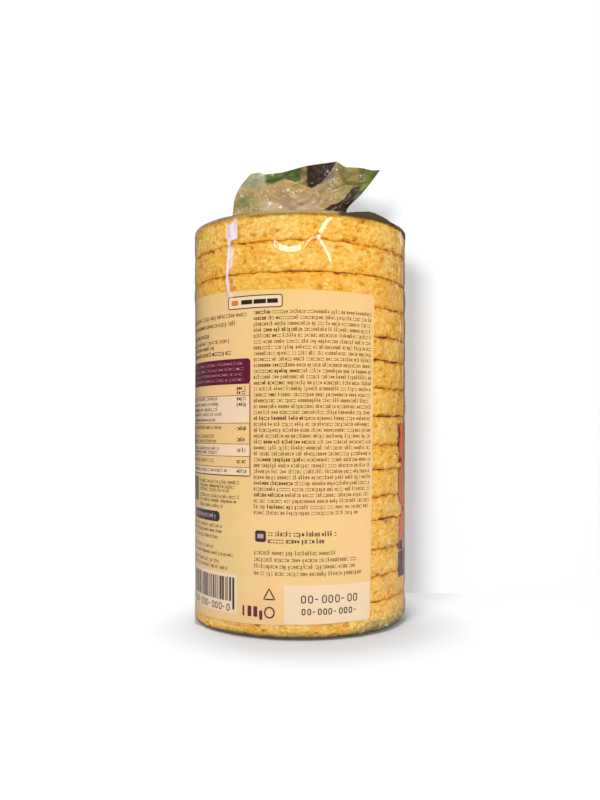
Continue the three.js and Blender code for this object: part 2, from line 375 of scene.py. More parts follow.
def ink_mottle_group():
    """Uneven print: slow blotches and fine grain. Puts out a tone to multiply the ink by, a roughness
    and a normal."""
    group = bpy.data.node_groups.new("ink_mottle", "ShaderNodeTree")
    for name, start in (("Blotch", 0.05), ("Grain", 0.04)):
        socket = group.interface.new_socket(name, in_out="INPUT", socket_type="NodeSocketFloat")
        socket.default_value = start
    outputs = {"Tone": "NodeSocketColor", "Roughness": "NodeSocketFloat", "Normal": "NodeSocketVector"}
    for name, kind in outputs.items():
        group.interface.new_socket(name, in_out="OUTPUT", socket_type=kind)
    wiring = Wiring(group)
    given = wiring.add("NodeGroupInput")
    place = wiring.place()
    blotch = wiring.noise(place, 14, 3)
    grain = wiring.noise(place, 0.7, 2)
    dip = wiring.swing(blotch, given.outputs["Blotch"])
    speck = wiring.swing(grain, given.outputs["Grain"])
    level = wiring.math("ADD", wiring.math("ADD", dip, speck), 0.97)
    tone = wiring.add("ShaderNodeCombineColor", {0: level, 1: level, 2: level}).outputs[0]
    bump = wiring.add("ShaderNodeBump", {"Height": grain, "Strength": 0.15, "Distance": 0.05 * MM})
    rough = wiring.math("ADD", wiring.math("MULTIPLY", blotch, 0.15), 0.42)
    wiring.add("NodeGroupOutput", {"Tone": tone, "Roughness": rough, "Normal": bump.outputs[0]})
    return group


INK_MOTTLE = ink_mottle_group()


def ink_material(name, colour, blotch=0.05, grain=0.04, second=None):
    """Ink on the inside of the film: a colour, unevenly laid, that drifts to a second one in places."""
    made, wiring = new_material(name)
    mottle = wiring.add("ShaderNodeGroup", node_tree=INK_MOTTLE)
    mottle.inputs["Blotch"].default_value = blotch
    mottle.inputs["Grain"].default_value = grain
    if second:
        drift = wiring.noise(wiring.place(), 22, 2)
        share = wiring.ramp(drift, [(0.42, (0, 0, 0, 1)), (0.62, (1, 1, 1, 1))])
        colour = wiring.mix(share, colour, second)
    shade = wiring.mix(1.0, colour, mottle.outputs["Tone"], "MULTIPLY")
    inputs = {
        "Base Color": shade, "Roughness": mottle.outputs["Roughness"], "Normal": mottle.outputs["Normal"],
        "Specular IOR Level": 0.12,
    }
    surface = wiring.add("ShaderNodeBsdfPrincipled", inputs)
    wiring.add("ShaderNodeOutputMaterial", {"Surface": surface.outputs[0]})
    return made


def cake_material():
    """Puffed lentil crumb: pale grains over saturated orange hollows, with fine pores and a few
    toasted patches. The hollows' darker tone is partly the crumb's own colour and partly painted
    shade. The attributes relief, which is low in the hollows and in the painted shade by the gaps,
    and grain, which is warmer where it is high, come from the mesh."""
    made, wiring = new_material("puffed_lentil_crumb")
    place = wiring.place()
    pores = wiring.noise(place, 0.5, 2)
    crumbs = wiring.noise(place, 1.3, 2)
    toast = wiring.noise(place, 8, 2)
    level = wiring.math("ADD", wiring.attribute("relief"), wiring.swing(pores, 1.0))
    level = wiring.math("ADD", level, wiring.swing(crumbs, 1.3))
    crumb = wiring.ramp(level, [
        (0.0, (0.48, 0.15, 0.006, 1)), (0.25, (0.76, 0.30, 0.014, 1)), (0.5, (0.94, 0.48, 0.045, 1)),
        (0.75, (0.98, 0.59, 0.10, 1)), (1.0, (1.0, 0.78, 0.28, 1)),
    ])
    patch = wiring.spread(wiring.noise(place, 3.2, 2), 0.48, 0.68, 0.0, 0.4)
    warmth = wiring.math("ADD", wiring.math("MULTIPLY", wiring.attribute("grain"), 0.34), patch)
    warm = wiring.mix(warmth, crumb, (0.93, 0.42, 0.025, 1))
    toasted = wiring.ramp(toast, [(0.0, (1, 1, 1, 1)), (0.56, (1, 1, 1, 1)), (0.7, (0.95, 0.84, 0.72, 1))])
    shade = wiring.mix(1.0, warm, toasted, "MULTIPLY")
    height = wiring.math("ADD", pores, crumbs)
    bump = wiring.add("ShaderNodeBump", {"Height": height, "Strength": 0.7, "Distance": 0.4 * MM})
    inputs = {
        "Base Color": shade, "Roughness": 0.8, "Specular IOR Level": 0.15, "Normal": bump.outputs[0],
        "Subsurface Weight": 0.1, "Subsurface Radius": (0.9, 0.5, 0.2), "Subsurface Scale": 1.2 * MM,
    }
    surface = wiring.add("ShaderNodeBsdfPrincipled", inputs)
    wiring.add("ShaderNodeOutputMaterial", {"Surface": surface.outputs[0]})
    return made


def film_material():
    """Thin clear film: mostly see-through, darker and glossier towards grazing angles, the more so the
    higher the attribute wall. The attributes ink and cover lay print on it, and also a painted
    highlight on the flat facet and painted glints at the foot, and haze whitens its creases."""
    made, wiring = new_material("clear_creased_film")
    ink, cover = wiring.attribute("ink", "Color"), wiring.attribute("cover")
    haze, wall = wiring.attribute("haze"), wiring.attribute("wall")
    ripple = wiring.noise(wiring.place(), 3.0, 2)
    bump = wiring.add("ShaderNodeBump", {"Height": ripple, "Strength": 0.03, "Distance": 0.2 * MM}).outputs[0]
    facing = wiring.add("ShaderNodeLayerWeight", {"Blend": 0.5}).outputs["Facing"]
    edge = wiring.math("MULTIPLY", wiring.math("POWER", facing, 3.5), wall)
    tint = wiring.mix(edge, (0.985, 0.98, 0.965, 1), (0.40, 0.35, 0.27, 1))
    clear = wiring.add("ShaderNodeBsdfTransparent", {"Color": tint}).outputs[0]
    tone = wiring.mix(haze, ink, (0.86, 0.82, 0.72, 1))
    printed = wiring.add("ShaderNodeBsdfPrincipled", {
        "Base Color": tone, "Roughness": 0.4, "Specular IOR Level": 0.08, "Normal": bump,
    }).outputs[0]
    laid = wiring.math("MAXIMUM", cover, haze)
    body = wiring.add("ShaderNodeMixShader", {0: laid, 1: clear, 2: printed}).outputs[0]
    share = wiring.math("ADD", wiring.math("MULTIPLY", wiring.math("POWER", facing, 4.0), 0.5), 0.055)
    share = wiring.math("MULTIPLY", share, wiring.math("ADD", wiring.math("MULTIPLY", wall, 0.8), 0.2))
    gloss = wiring.add("ShaderNodeBsdfGlossy", {
        "Color": (1, 1, 1, 1), "Roughness": 0.085, "Normal": bump,
    }).outputs[0]
    surface = wiring.add("ShaderNodeMixShader", {0: share, 1: body, 2: gloss}).outputs[0]
    wiring.add("ShaderNodeOutputMaterial", {"Surface": surface})
    return made


CREAM = rgb(253, 210, 148)
YELLOW_CREAM = rgb(247, 211, 140)
PALE = rgb(252, 224, 188)
MAROON = rgb(104, 0, 48)
PALE_ROSE = rgb(208, 158, 166)
TEXT_BROWN = rgb(154, 118, 72)
BOLD_BROWN = rgb(88, 56, 28)
INK_BLACK = rgb(40, 30, 24)
CORAL = rgb(236, 122, 84)
LEAF_GREEN = rgb(90, 112, 38)
DARK_BROWN = rgb(52, 32, 14)
DARK_OLIVE = rgb(70, 56, 33)
OLIVE = rgb(150, 126, 66)
YELLOW_OLIVE = rgb(150, 134, 60)
TAN = rgb(170, 142, 88)
WARM_TAN = rgb(184, 150, 88)
MAUVE_GREY = rgb(190, 164, 128)
GREY_OLIVE = rgb(132, 124, 92)
GREY_GREEN = rgb(158, 158, 112)
PALE_LEAF = rgb(122, 138, 62)
DEEP_OLIVE = rgb(108, 108, 34)
ORANGE = rgb(232, 130, 40)
# The colour of the painted highlight on the flat facet.
GLARE_LAVENDER = rgb(222, 212, 216)


# ---- the cakes ----
def gap_place(index, angle):
    """Where a gap's noises are read: on the cakes' rim, at a level of its own for each gap."""
    return on_ring(angle, CAKE_RADIUS, GAP_SHIFT * index)


def gap_height(index, angle):
    """Height of the gap under a cake, or over the last: the thicknesses below it plus a slow, a quick
    and a fine wander round the pack, which is less at the stack's two ends."""
    place = gap_place(index, angle)
    wander = 0.5 * soft_noise(place, 17.0) + 0.45 * soft_noise(place, 4.2, 1)
    wander = wander + 0.32 * soft_noise(place, 1.6, 6)
    return CAKE_EDGES[index] + (wander if 0 < index < len(CAKE_THICKNESS) else 0.3 * wander)


def gap_opening(index, angle):
    """How far two cakes stand apart at their edges: all but closed in most places, open by up to half
    a millimetre where the sum of two noises is high, and by up to twice that at the right."""
    place = gap_place(index, angle)
    right = window(wrap(angle), 0.6, 0.8, 1.6, 2.0)
    loose = np.clip(soft_noise(place, 7.0, 2) + 0.6 * soft_noise(place, 2.2, 3) - 0.25 + 0.3 * right, 0, 1)
    return 0.02 + (0.5 + 0.5 * right) * loose


def crumb_relief(places):
    """Depth of the puffed surface below its highest grains, in mm: domes of about 2.3 and 1.1 mm,
    pits, level cracks and a slow swell. Also returns the tone of each grain."""
    bent = places + 0.6 * np.stack([soft_noise(places, 1.7, seed) for seed in (5, 6, 7)], axis=-1)
    near, _, tone = cell_noise(bent, (2.6, 2.6, 2.0), 1)
    small_near, _, small_tone = cell_noise(bent, (1.25, 1.25, 0.95), 2)
    pit_near, _, pit_tone = cell_noise(bent, (3.2, 3.2, 2.4), 3)
    _, crack_step, _ = cell_noise(bent, (6.5, 6.5, 2.0), 4)
    dome = 1 - np.sqrt(np.clip(1 - (near / 0.92) ** 2, 0, 1))
    small_dome = 1 - np.sqrt(np.clip(1 - (small_near / 0.95) ** 2, 0, 1))
    pit = np.clip(1 - (pit_near / 0.42) ** 2, 0, 1) * smoothstep(0.5, 0.7, pit_tone)
    crack = (1 - smoothstep(0, 0.16, crack_step)) * smoothstep(-0.1, 0.4, soft_noise(places, 5.0, 8))
    swell = 0.5 + 0.5 * soft_noise(places, 11.0, 9)
    depth = 0.42 * dome + 0.3 * small_dome + 0.8 * pit + 0.4 * crack + 0.3 * swell
    return depth, 0.5 * tone + 0.5 * small_tone


def foot_turn(angle):
    """How far the pack's lowest edge is rounded: little at the left, more at the front and the right,
    and less again towards the back."""
    turned = wrap(angle)
    front = 2.4 * smoothstep(-1.1, -0.5, turned) + 0.5 * smoothstep(0.5, 1.2, turned)
    return 1.3 + front * (1 - smoothstep(1.8, 3.0, turned))


def cake_rings(index):
    """One cake as rings from the middle of its underside round the rim to the middle of its top. The
    rim runs from one gap to the next. It rounds in at both edges as a superellipse, or as a quarter
    circle at the lowest cake's foot, and each face is flat. The crumb's relief then sinks every place
    inwards, and only a little up or down on the rim, so that the gaps stay thin. The tone darkens with
    the relief's depth, partly the crumb's own colour and partly painted shade in its hollows, and falls
    further towards both gaps as a bell of painted shade, in patches."""
    is_top = index == len(CAKE_THICKNESS) - 1
    top_rows = TOP_CAKE_ROWS if is_top else HIDDEN_TOP_ROWS
    angle = np.linspace(0, 2 * np.pi, CAKE_COLUMNS, endpoint=False)[None, :]
    low = gap_height(index, angle) + gap_opening(index, angle) / 2
    high = gap_height(index + 1, angle) - gap_opening(index + 1, angle) / 2
    place = gap_place(index, angle)
    edge = EDGE_DEPTH * (1 + 0.8 * soft_noise(place, 6.0, 4) + 0.5 * soft_noise(place, 1.8, 7)).clip(0.15)
    even = np.linspace(0, 1, RIM_ROWS)
    share = (0.5 * even + 0.5 * (0.5 - 0.5 * np.cos(np.pi * even)))[:, None]
    lower = foot_turn(angle) if index == 0 else edge
    inset = np.where(share < 0.5, lower, edge) * (1 - (1 - np.abs(2 * share - 1) ** 3.6) ** 0.3)
    above_low, below_high = share * (high - low), (1 - share) * (high - low)
    if index == 0:
        inset = np.where(share < 0.5, corner_inset(above_low, lower), inset)
    rim = on_ring(angle, CAKE_RADIUS - inset, low + above_low)
    under = np.array([0.02, 0.3, 0.6, 0.8, 0.92, 0.98])[:, None]
    over = np.linspace(0.985, 0.012, top_rows)[:, None]
    lowest = CAKE_EDGES[index] + TOUCH
    underside = on_ring(angle, under * (CAKE_RADIUS - lower), lowest + under**4 * (low - lowest))
    highest = CAKE_EDGES[index + 1] - (0 if is_top else TOUCH)
    top = on_ring(angle, over * (CAKE_RADIUS - edge), highest + over**4 * (high - highest))
    points = np.concatenate([underside, rim, top])
    crumb_shift = (0, 0, CRUMB_SHIFT * index)
    depth, tone = crumb_relief(points + crumb_shift)
    scale = np.ones((len(points), 1, 3))
    scale[:, :, 2] = 0.3
    if is_top:
        scale[-top_rows:] = 1.0
    aside = on_ring(2.4 * index, CAKE_OFFSET, 0.0)
    points = points - grid_normals(points) * scale * depth[..., None] + aside
    # Painted shade: the tone darkens with the relief's depth, partly the crumb's own colour and partly shade
    # in the hollows, and darkens further near both gaps, in patches.
    level = 1 - np.clip(depth / 1.5, 0, 1)
    painted_gap_shade = np.exp(-((above_low / GAP_SHADE) ** 2)) + np.exp(-((below_high / GAP_SHADE) ** 2))
    shade_patches = smoothstep(-0.5, 0.7, soft_noise(rim + crumb_shift, 2.6, 10))
    level[len(under):-top_rows] -= (0.25 + 0.65 * shade_patches) * painted_gap_shade
    return points, np.clip(level, 0, 1), tone


def make_cakes():
    """The fifteen cakes, each closed over the middles of its first and its last ring."""
    crumb = cake_material()
    for index in range(len(CAKE_THICKNESS)):
        points, relief, tone = cake_rings(index)
        rows, columns = relief.shape
        middles = np.stack([points[0].mean(axis=0), points[-1].mean(axis=0)])
        corners = np.concatenate([points.reshape(-1, 3), middles])
        faces = ring_faces(rows, columns).tolist() + start_fan(rows, columns) + end_fan(rows, columns)
        values = {
            "relief": np.append(relief.ravel(), [0.6, 0.6]),
            "grain": 0.7 * np.append(tone.ravel(), [0.5, 0.5]) + 0.8 * CAKE_WARMTH[index],
        }
        new_piece(f"cake_{index + 1:02d}", corners, faces, crumb, ["filled_bag"], values)


# ---- the film ----
# Ridges and valleys of the clear film. Each runs up the pack along a line of arcs and heights, with a
# half width and a height, negative for a valley.
CREASES = [
    {"width": 0.8, "height": 0.3, "line": [(34, 98), (38, 106), (41, 120), (44, 131), (43, 150)]},
    {"width": 0.7, "height": 0.35, "line": [(36, 42), (41, 52), (43, 63), (47, 70)]},
    {"width": 0.8, "height": 0.4, "line": [(48, 10), (46, 28), (50, 40), (49, 60), (52, 84)]},
    {"width": 0.8, "height": 0.4, "line": [(47, 90), (51, 104), (48, 118), (53, 132), (50, 158)]},
    {"width": 0.7, "height": -0.35, "line": [(56, 14), (54, 30), (57, 52), (54, 76), (57, 110), (55, 150)]},
    {"width": 1.0, "height": 0.3, "line": [(-66, 137), (-60, 148), (-52, 160)]},
]
# Where the film steps in on its way up, so that a band of it faces the light above: the line of arcs
# and heights, the band's half width, and the height of the step.
STEPS = [
    {"width": 2.5, "height": 0.7, "line": [
        (-10.2, 153.2), (-8, 151.2), (-4.5, 150.2), (-1, 150.5), (1.5, 151.7),
    ]},
    {"width": 1.2, "height": 0.36, "line": [(1.0, 151.3), (2.5, 152.6), (5.5, 155.4), (7.3, 157.4)]},
]
# Where the film is turned a little, so that a light shows along a line: the line of arcs and heights,
# the angle at which the film would show that light by itself, how wide the turned strip is, and how
# far it tilts up.
TURNED_STRIPS = [
    {"shown_at": np.radians(11.6), "width": 4.0, "tilt": np.radians(0.4), "line": [
        (11.2, 142), (12.0, 145.5), (10.6, 148.5), (8.5, 152), (7.0, 154.6), (6.8, 157), (8.8, 160),
        (12.0, 163),
    ]},
    {"shown_at": np.radians(-36.2), "width": 4.0, "tilt": 0.0, "line": [
        (-30.5, 134), (-30.6, 136), (-31.2, 139.7), (-31.3, 143.9), (-30.8, 147.5), (-30.1, 150),
        (-30.2, 153.5), (-30.5, 166),
    ]},
]
# A flat facet of the film at the upper left, and a fold that stands up at the tent's right.
FLAT_FACET = {"angle": np.radians(-36.2), "half": np.radians(3.6), "low": 156.0, "high": 164.5}
LIFTED_FOLD = {"x": 29.0, "y": -24.0, "size": 8.0, "height": 2.0}


def looseness(angle, height):
    """1 where the film is clear and loose, PRINTED_CALM where print stiffens it."""
    printed = 0
    for panel in (BACK_PANEL, FRONT_PANEL):
        middle = (panel["from"] + panel["to"]) / 2
        beyond = (np.abs(wrap(angle - middle)) - (panel["to"] - panel["from"]) / 2) * FILM_RADIUS
        above = np.maximum(panel["low"] - height, height - panel["high"])
        printed = np.maximum(printed, (1 - smoothstep(-1, 3, beyond)) * (1 - smoothstep(-1, 3, above)))
    return 1 - (1 - PRINTED_CALM) * printed


def along_line(line, arc, height, up=True, fade=3.0):
    """Distance from a line, measured level from one that runs up the pack and upright from one that
    runs across it, with a weight that fades beyond the line's two ends."""
    line = np.array(line)
    along, across, run, other = (height, arc, 1, 0) if up else (arc, height, 0, 1)
    away = across - np.interp(along, line[:, run], line[:, other])
    start, end = line[0, run], line[-1, run]
    return away, window(along, start - fade, start + fade / 3, end - fade / 3, end + fade)


def bell(away, width):
    """1 on a line, falling off beside it over about the given width."""
    return np.exp(-((away / width) ** 2))


def film_radius(angle, height):
    """The film's distance from the axis: the bag's radius, less a sag over each gap between two
    cakes, plus slow swells, the named creases, a net of small creases, most at the right, the chord
    of the flat facet, and puckers at the foot, also most at the right. Print calms it. A turned strip
    adds, inside a bell, a slope times the distance from its line, and a level that keeps the line
    itself upright, less a tilt. A step falls by the distance from its line times a bell, and stops
    beside a turned strip."""
    angle, height = np.broadcast_arrays(angle, height)
    place = on_ring(angle, FILM_RADIUS, height)
    arc = wrap(angle) * FILM_RADIUS
    loose = looseness(angle, height)
    stand = 0
    calm = 1
    beside = 1
    for strip in TURNED_STRIPS:
        away, ends = along_line(strip["line"], arc, height)
        turned = bell(away, strip["width"]) * ends
        along = arc - away
        slope = along / FILM_RADIUS - strip["shown_at"]
        level = along**2 / (2 * FILM_RADIUS) - strip["shown_at"] * along
        middle = np.mean(strip["line"], axis=0)
        level = level - (middle[0] ** 2 / (2 * FILM_RADIUS) - strip["shown_at"] * middle[0])
        stand = stand + (slope * away + level - strip["tilt"] * (height - middle[1])) * turned
        calm = calm * (1 - turned)
        beside = beside * (1 - bell(away, 1.8) * ends)
    for crease in CREASES:
        away, ends = along_line(crease["line"], arc, height)
        stand = stand + crease["height"] * bell(away, crease["width"]) * ends
    for step in STEPS:
        away, ends = along_line(step["line"], arc, height, up=False, fade=1.0)
        steps = away / step["width"]
        stand = stand - step["height"] * steps * np.exp(-(steps**2) / 2) * ends * beside
        calm = calm * (1 - 0.9 * bell(steps, 2) * ends)
    facet, half = np.abs(wrap(angle - FLAT_FACET["angle"])), FLAT_FACET["half"]
    chord = FILM_RADIUS * (np.cos(half) / np.cos(np.minimum(facet, half)) - 1) * (facet < half)
    chord = chord * smoothstep(FLAT_FACET["low"] - 0.6, FLAT_FACET["low"] + 0.6, height)
    sag = sum(bell(height - gap_height(gap, angle), 1.6) for gap in range(1, len(CAKE_THICKNESS)))
    side = smoothstep(np.radians(40), np.radians(50), wrap(angle)) + 0.35
    swell = 0.1 * soft_noise(place, 19.0, 20) + 0.08 * soft_noise(place * (1, 1, 0.35), 7.0, 21) * loose
    net = 0.16 * crumple(place * (1, 1, 0.6), 5.0, 30) * loose * side
    low = bell(height, 7.0) * (0.35 + 0.65 * window(wrap(angle), -0.3, 0.6, 1.7, 2.4))
    pucker = 0.35 * fold(arc / 4.1 + 0.8 * soft_noise(place, 9.0, 22)) + 0.45 * crumple(place, 4.0, 31)
    pucker = np.maximum(low * pucker * loose, -0.2)
    relief = (swell + net - FILM_SAG * sag * loose) * calm
    return FILM_RADIUS - FILM_SLACK + relief + stand + chord + pucker


def edge_height(outline, across):
    """Height of an outline, given as places across and heights, at other places across."""
    return np.interp(across, outline[:, 0], outline[:, 1])


def top_ring(angle, left, right, half_depth, roundness, evenness, winding, height):
    """A flattened ring of the gathered film, which winds to the front and the back as a sine wave. Its
    columns go from evenly round to evenly across."""
    even = 2 / np.pi * np.arcsin(np.sin(angle))
    across = (1 - evenness) * np.sin(angle) + evenness * even
    away = np.sqrt(np.clip(1 - across**2, 0, 1)) ** roundness
    x = (left + right) / 2 + (right - left) / 2 * across
    wave = np.sin(2 * np.pi * (x - FIN_RINGS[-1, 1]) / FIN_WAVE_LENGTH)
    y = -np.sign(np.cos(angle)) * half_depth * away + winding * wave
    return np.stack([x, y, np.broadcast_to(height, x.shape)], axis=-1)


def film_top(angle):
    """The gathered top as rings: a smooth curve through the shoulder, the tent's rings and the fin's,
    whose top ring follows the cut edge of the front layer before the axis and of the back layer
    behind it. Pleats and crumples then move the tent along its normal and the fin to and fro, and
    the fin is scaled by its distance from the camera, so that it keeps its outline. Returns the
    rings and each row's share of the way up."""
    front = np.cos(angle) > 0
    even = 2 / np.pi * np.arcsin(np.sin(angle))
    across_top = FIN_RINGS[-1, 1] + (even + 1) / 2 * (FIN_RINGS[-1, 2] - FIN_RINGS[-1, 1])
    back_edge = edge_height(BACK_EDGE, across_top)
    front_edge = edge_height(FRONT_EDGE, across_top)
    near_end = smoothstep(0.9, 1.0, np.abs(even))
    cut = np.where(front, front_edge + (back_edge - front_edge) * near_end, back_edge)
    levels = (STACK_TOP - 2.0, STACK_TOP + 0.4)
    shoulder = [on_ring(angle, film_radius(angle, level), level) for level in levels]
    tent = [top_ring(angle, *ring[1:6], 0.0, ring[0]) for ring in TENT_RINGS]
    neck = TENT_RINGS[-1, 0]
    fin = []
    for share, left, right, depth, _ in FIN_RINGS:
        evenness, height = 0.9 + 0.1 * share, neck + share * (cut - neck)
        fin.append(top_ring(angle, left, right, depth, 0.5, evenness, FIN_WAVE * share, height))
    places = np.array([-0.08, -0.03, 0.04, 0.16, 0.28, 0.4, *(0.4 + 0.6 * FIN_RINGS[:, 0])])
    rise = np.linspace(places[0], 1, FILM_TOP_ROWS)
    rings = curve_through(places, np.stack(shoulder + tent + fin), rise)
    pleat_depth = np.interp(rise, places, [0, 0, *TENT_RINGS[:, 6], *FIN_RINGS[:, 4]])[:, None]
    side = np.where(front, 0.0, 60.0)
    flat = rings * (1, 0.3, 1) + np.stack([0 * side, side, 0 * side], -1)
    round_place = on_ring(angle, 24.0, 0.0)[None] + rings * (0, 0, 0.25)
    radial = 0.5 + 0.5 * fold(angle / (2 * np.pi) * TENT_PLEATS + 0.9 * soft_noise(round_place, 9.0, 40))
    lean = rings[..., 0] - 0.5 * (rings[..., 2] - 174)
    lengthwise = 0.5 + 0.5 * fold(lean / PLEAT_LENGTH + side / 140 + 0.9 * soft_noise(flat, 9.0, 41))
    upper = smoothstep(0.3, 0.48, rise)[:, None]
    pleats = pleat_depth * (radial * (1 - upper) + lengthwise * upper)
    rough = smoothstep(0.0, 0.3, rise)[:, None]
    large = 0.35 + 0.75 * crumple(flat, 8.0, 42)
    small = 0.34 * crumple(flat, 3.4, 43) + 0.12 * crumple(flat * (1, 1, 0.5), 1.5, 44)
    normal = grid_normals(rings)
    facing = np.zeros(rings.shape)
    facing[..., 1] = np.where(front, -1.0, 1.0)
    direction = normal * (1 - upper[..., None]) + facing * upper[..., None]
    rings = rings + direction * (pleats + rough * (large + small))[..., None]
    nearness = upper * rings[..., 1] / CAMERA_DISTANCE
    rings[..., 0] += rings[..., 0] * nearness
    rings[..., 2] += (rings[..., 2] - CAMERA_HEIGHT) * nearness
    away = np.hypot(rings[..., 0] - LIFTED_FOLD["x"], rings[..., 1] - LIFTED_FOLD["y"]) / LIFTED_FOLD["size"]
    rings[..., 2] += LIFTED_FOLD["height"] * np.exp(-(away**2)) * smoothstep(0.0, 0.05, rise)[:, None]
    return rings, rise


# Print of the gathered top, in order of laying: colour, cover, how soft its edges are, and a box of
# left, right, low and high.
BACK_TOP_INKS = [
    (GREY_GREEN, 0.8, 1.0, (-60, -10, 160, 210)), (DARK_OLIVE, 0.97, 1.0, (-10, 60, 160, 210)),
    (LEAF_GREEN, 0.99, 0.8, (-16, 0.3, 182, 210)), (OLIVE, 0.98, 0.6, (0.3, 3.2, 182, 210)),
    (DARK_BROWN, 0.995, 0.6, (3.2, 15.6, 178, 210)), (YELLOW_OLIVE, 0.98, 1.4, (15.6, 26.4, 184, 210)),
    (DEEP_OLIVE, 0.98, 1.4, (27.4, 60, 184, 210)),
]
FRONT_TOP_INKS = [
    (GREY_OLIVE, 0.5, 3.0, (-60, -22, 160, 172)), (TAN, 0.88, 3.0, (-22, 15, 160, 172)),
    (TAN, 0.9, 1.6, (-60, 60, 171.2, 210)), (WARM_TAN, 0.9, 1.6, (-28, 4, 184, 189.5)),
    (GREY_GREEN, 0.55, 2.2, (-60, -17, 185.6, 210)), (GREY_GREEN, 0.75, 0.7, (-60, -15.6, 189.5, 210)),
    (MAUVE_GREY, 0.84, 1.8, (-17, 8, 174, 181.4)), (PALE_LEAF, 0.8, 2.2, (-26.5, -20.2, 177.2, 181.8)),
    (OLIVE, 0.86, 1.4, (-27, -17, 170, 176.5)), (MAUVE_GREY, 0.35, 0.8, (9, 17.5, 189.5, 210)),
    (YELLOW_OLIVE, 0.75, 1.8, (17.5, 27, 185.6, 210)), (DARK_OLIVE, 0.97, 1.0, (15, 60, 160, 174.8)),
    (DEEP_OLIVE, 0.95, 1.0, (30.5, 60, 185, 210)),
]
LOWER_RIGHT_EDGE = np.array([(10.0, 176.8), (17.7, 180.9), (22.6, 185.4), (27.0, 187.0), (36.0, 193.2)])


def film_inks(points, rise):
    """Print of the gathered top: boxes over the place across and the height, bent by soft noise, more
    so on the tent. The back layer has the pack's front design, and the front layer is tan and
    see-through. Below a slanting line at the lower right the front layer is dark brown, and then
    green. Returns the ink's colour and how much of the film it covers."""
    x, z = points[..., 0], points[..., 2]
    drift = 4.0 * window(rise, 0.03, 0.12, 0.3, 0.42)[:, None]
    bent_x = x + 0.9 * soft_noise(points, 5.0, 50) + 0.5 * soft_noise(points, 1.7, 52)
    bent_x = bent_x + drift * (soft_noise(points, 16.0, 54) + 0.5 * soft_noise(points, 6.0, 55))
    bent_z = z + 0.9 * soft_noise(points, 5.0, 51) + 0.5 * soft_noise(points, 1.7, 53)
    front = np.broadcast_to(np.cos(FILM_ANGLES)[None, :] > 0, x.shape)
    ink = np.broadcast_to(np.array(TAN[:3]), x.shape + (3,)).copy()
    cover = np.zeros(x.shape)

    def lay(colour, strength, mask):
        ink[:] = ink * (1 - mask[..., None]) + np.array(colour[:3]) * mask[..., None]
        cover[:] = cover * (1 - mask) + strength * mask

    def box(soft, left, right, low, high):
        across = window(bent_x, left - soft, left + soft, right - soft, right + soft)
        return across * window(bent_z, low - soft, low + soft, high - soft, high + soft)

    for colour, strength, soft, sides in BACK_TOP_INKS:
        lay(colour, strength, box(soft, *sides) * ~front)
    for colour, strength, soft, sides in FRONT_TOP_INKS:
        lay(colour, strength, box(soft, *sides) * front)
    below = edge_height(LOWER_RIGHT_EDGE, bent_x) - bent_z
    slant = smoothstep(-0.4, 0.4, below) * (bent_x > 10) * smoothstep(174.2, 175.4, bent_z) * front
    lay(DARK_BROWN, 0.98, slant)
    lay(PALE_LEAF, 0.95, slant * smoothstep(24.0, 26.4, bent_x - 0.35 * (bent_z - 184)))
    lay(DEEP_OLIVE, 0.95, slant * smoothstep(28.0, 31.0, bent_x))
    return ink, cover * smoothstep(-0.06, -0.045, rise)[:, None]


def crease_lines(points, size, growth, bend, bend_size, sharp, patch_size, patch_from, seed):
    """Thin lines where the folded waves of a crumple turn, kept in patches by soft noise. The waves
    grow from one direction to the next, and sharp is where a wave starts to count as a line."""
    lines = np.zeros(points.shape[:-1])
    for turn, direction in enumerate(CRUMPLE_DIRECTIONS):
        bent = bend * soft_noise(points, bend_size, seed + turn)
        wave = np.abs(fold(points @ direction / (size + growth * turn) + bent))
        patch = smoothstep(patch_from, 0.4, soft_noise(points, patch_size, seed + 10 + turn))
        lines = np.maximum(lines, smoothstep(sharp, 1.0, wave) * patch)
    return lines


def crinkle_lines(points, rise):
    """Whitened lines of the fin: creases in all directions, and a fan of straight lines that spreads
    to the right from one pinched spot. They are faint on the back layer and on dark print."""
    flat = points * (1, 0.5, 1)
    lines = crease_lines(flat, 6.0, 1.3, 0.8, 11.0, 0.9, 5.0, -0.1, 60)
    across, above = points[..., 0] - PINCHED_SPOT[0], points[..., 2] - PINCHED_SPOT[1]
    spread, reach = np.arctan2(above, across), np.hypot(above, across)
    fan = smoothstep(0.7, 1.0, fold(spread * 9 + 0.3 * soft_noise(flat, 8.0, 80)))
    fan = fan * (spread > 0.05) * (spread < 1.1) * window(reach, 2, 6, 20, 25)
    slant = edge_height(LOWER_RIGHT_EDGE, points[..., 0]) > points[..., 2]
    dark = slant & (points[..., 0] > 9)
    strength = np.where(np.cos(FILM_ANGLES)[None, :] < 0, 0.07, np.where(dark, 0.12, 0.32))
    return strength * np.maximum(lines, fan) * smoothstep(0.2, 0.36, rise)[:, None]


def scratches(points):
    """Fine white creases of the clear film at the right, where no print stiffens it."""
    lines = crease_lines(points, 5.0, 1.0, 0.7, 9.0, 0.8, 6.0, 0.0, 100)
    angle = angle_of(points)
    return lines * window(angle, 0.7, 0.85, 1.5, 1.9) * looseness(angle, points[..., 2])


def painted_glare_patch(points):
    """A painted highlight: the pale lavender glare on the flat facet at the left, and the thin pale
    line of glare below it.
    """
    angle, height = angle_of(points), points[..., 2]
    low, high = FLAT_FACET["low"], FLAT_FACET["high"]
    across = np.abs(wrap(angle - FLAT_FACET["angle"])) / FLAT_FACET["half"]
    across = across + 0.3 * soft_noise(points, 2.6, 120)
    facet = (1 - smoothstep(0.85, 1.0, across)) * window(height, low - 0.5, low + 0.3, high - 0.4, high + 0.2)
    away, ends = along_line(TURNED_STRIPS[1]["line"], angle * FILM_RADIUS, height)
    return np.maximum(facet, bell(away, 0.7) * ends)


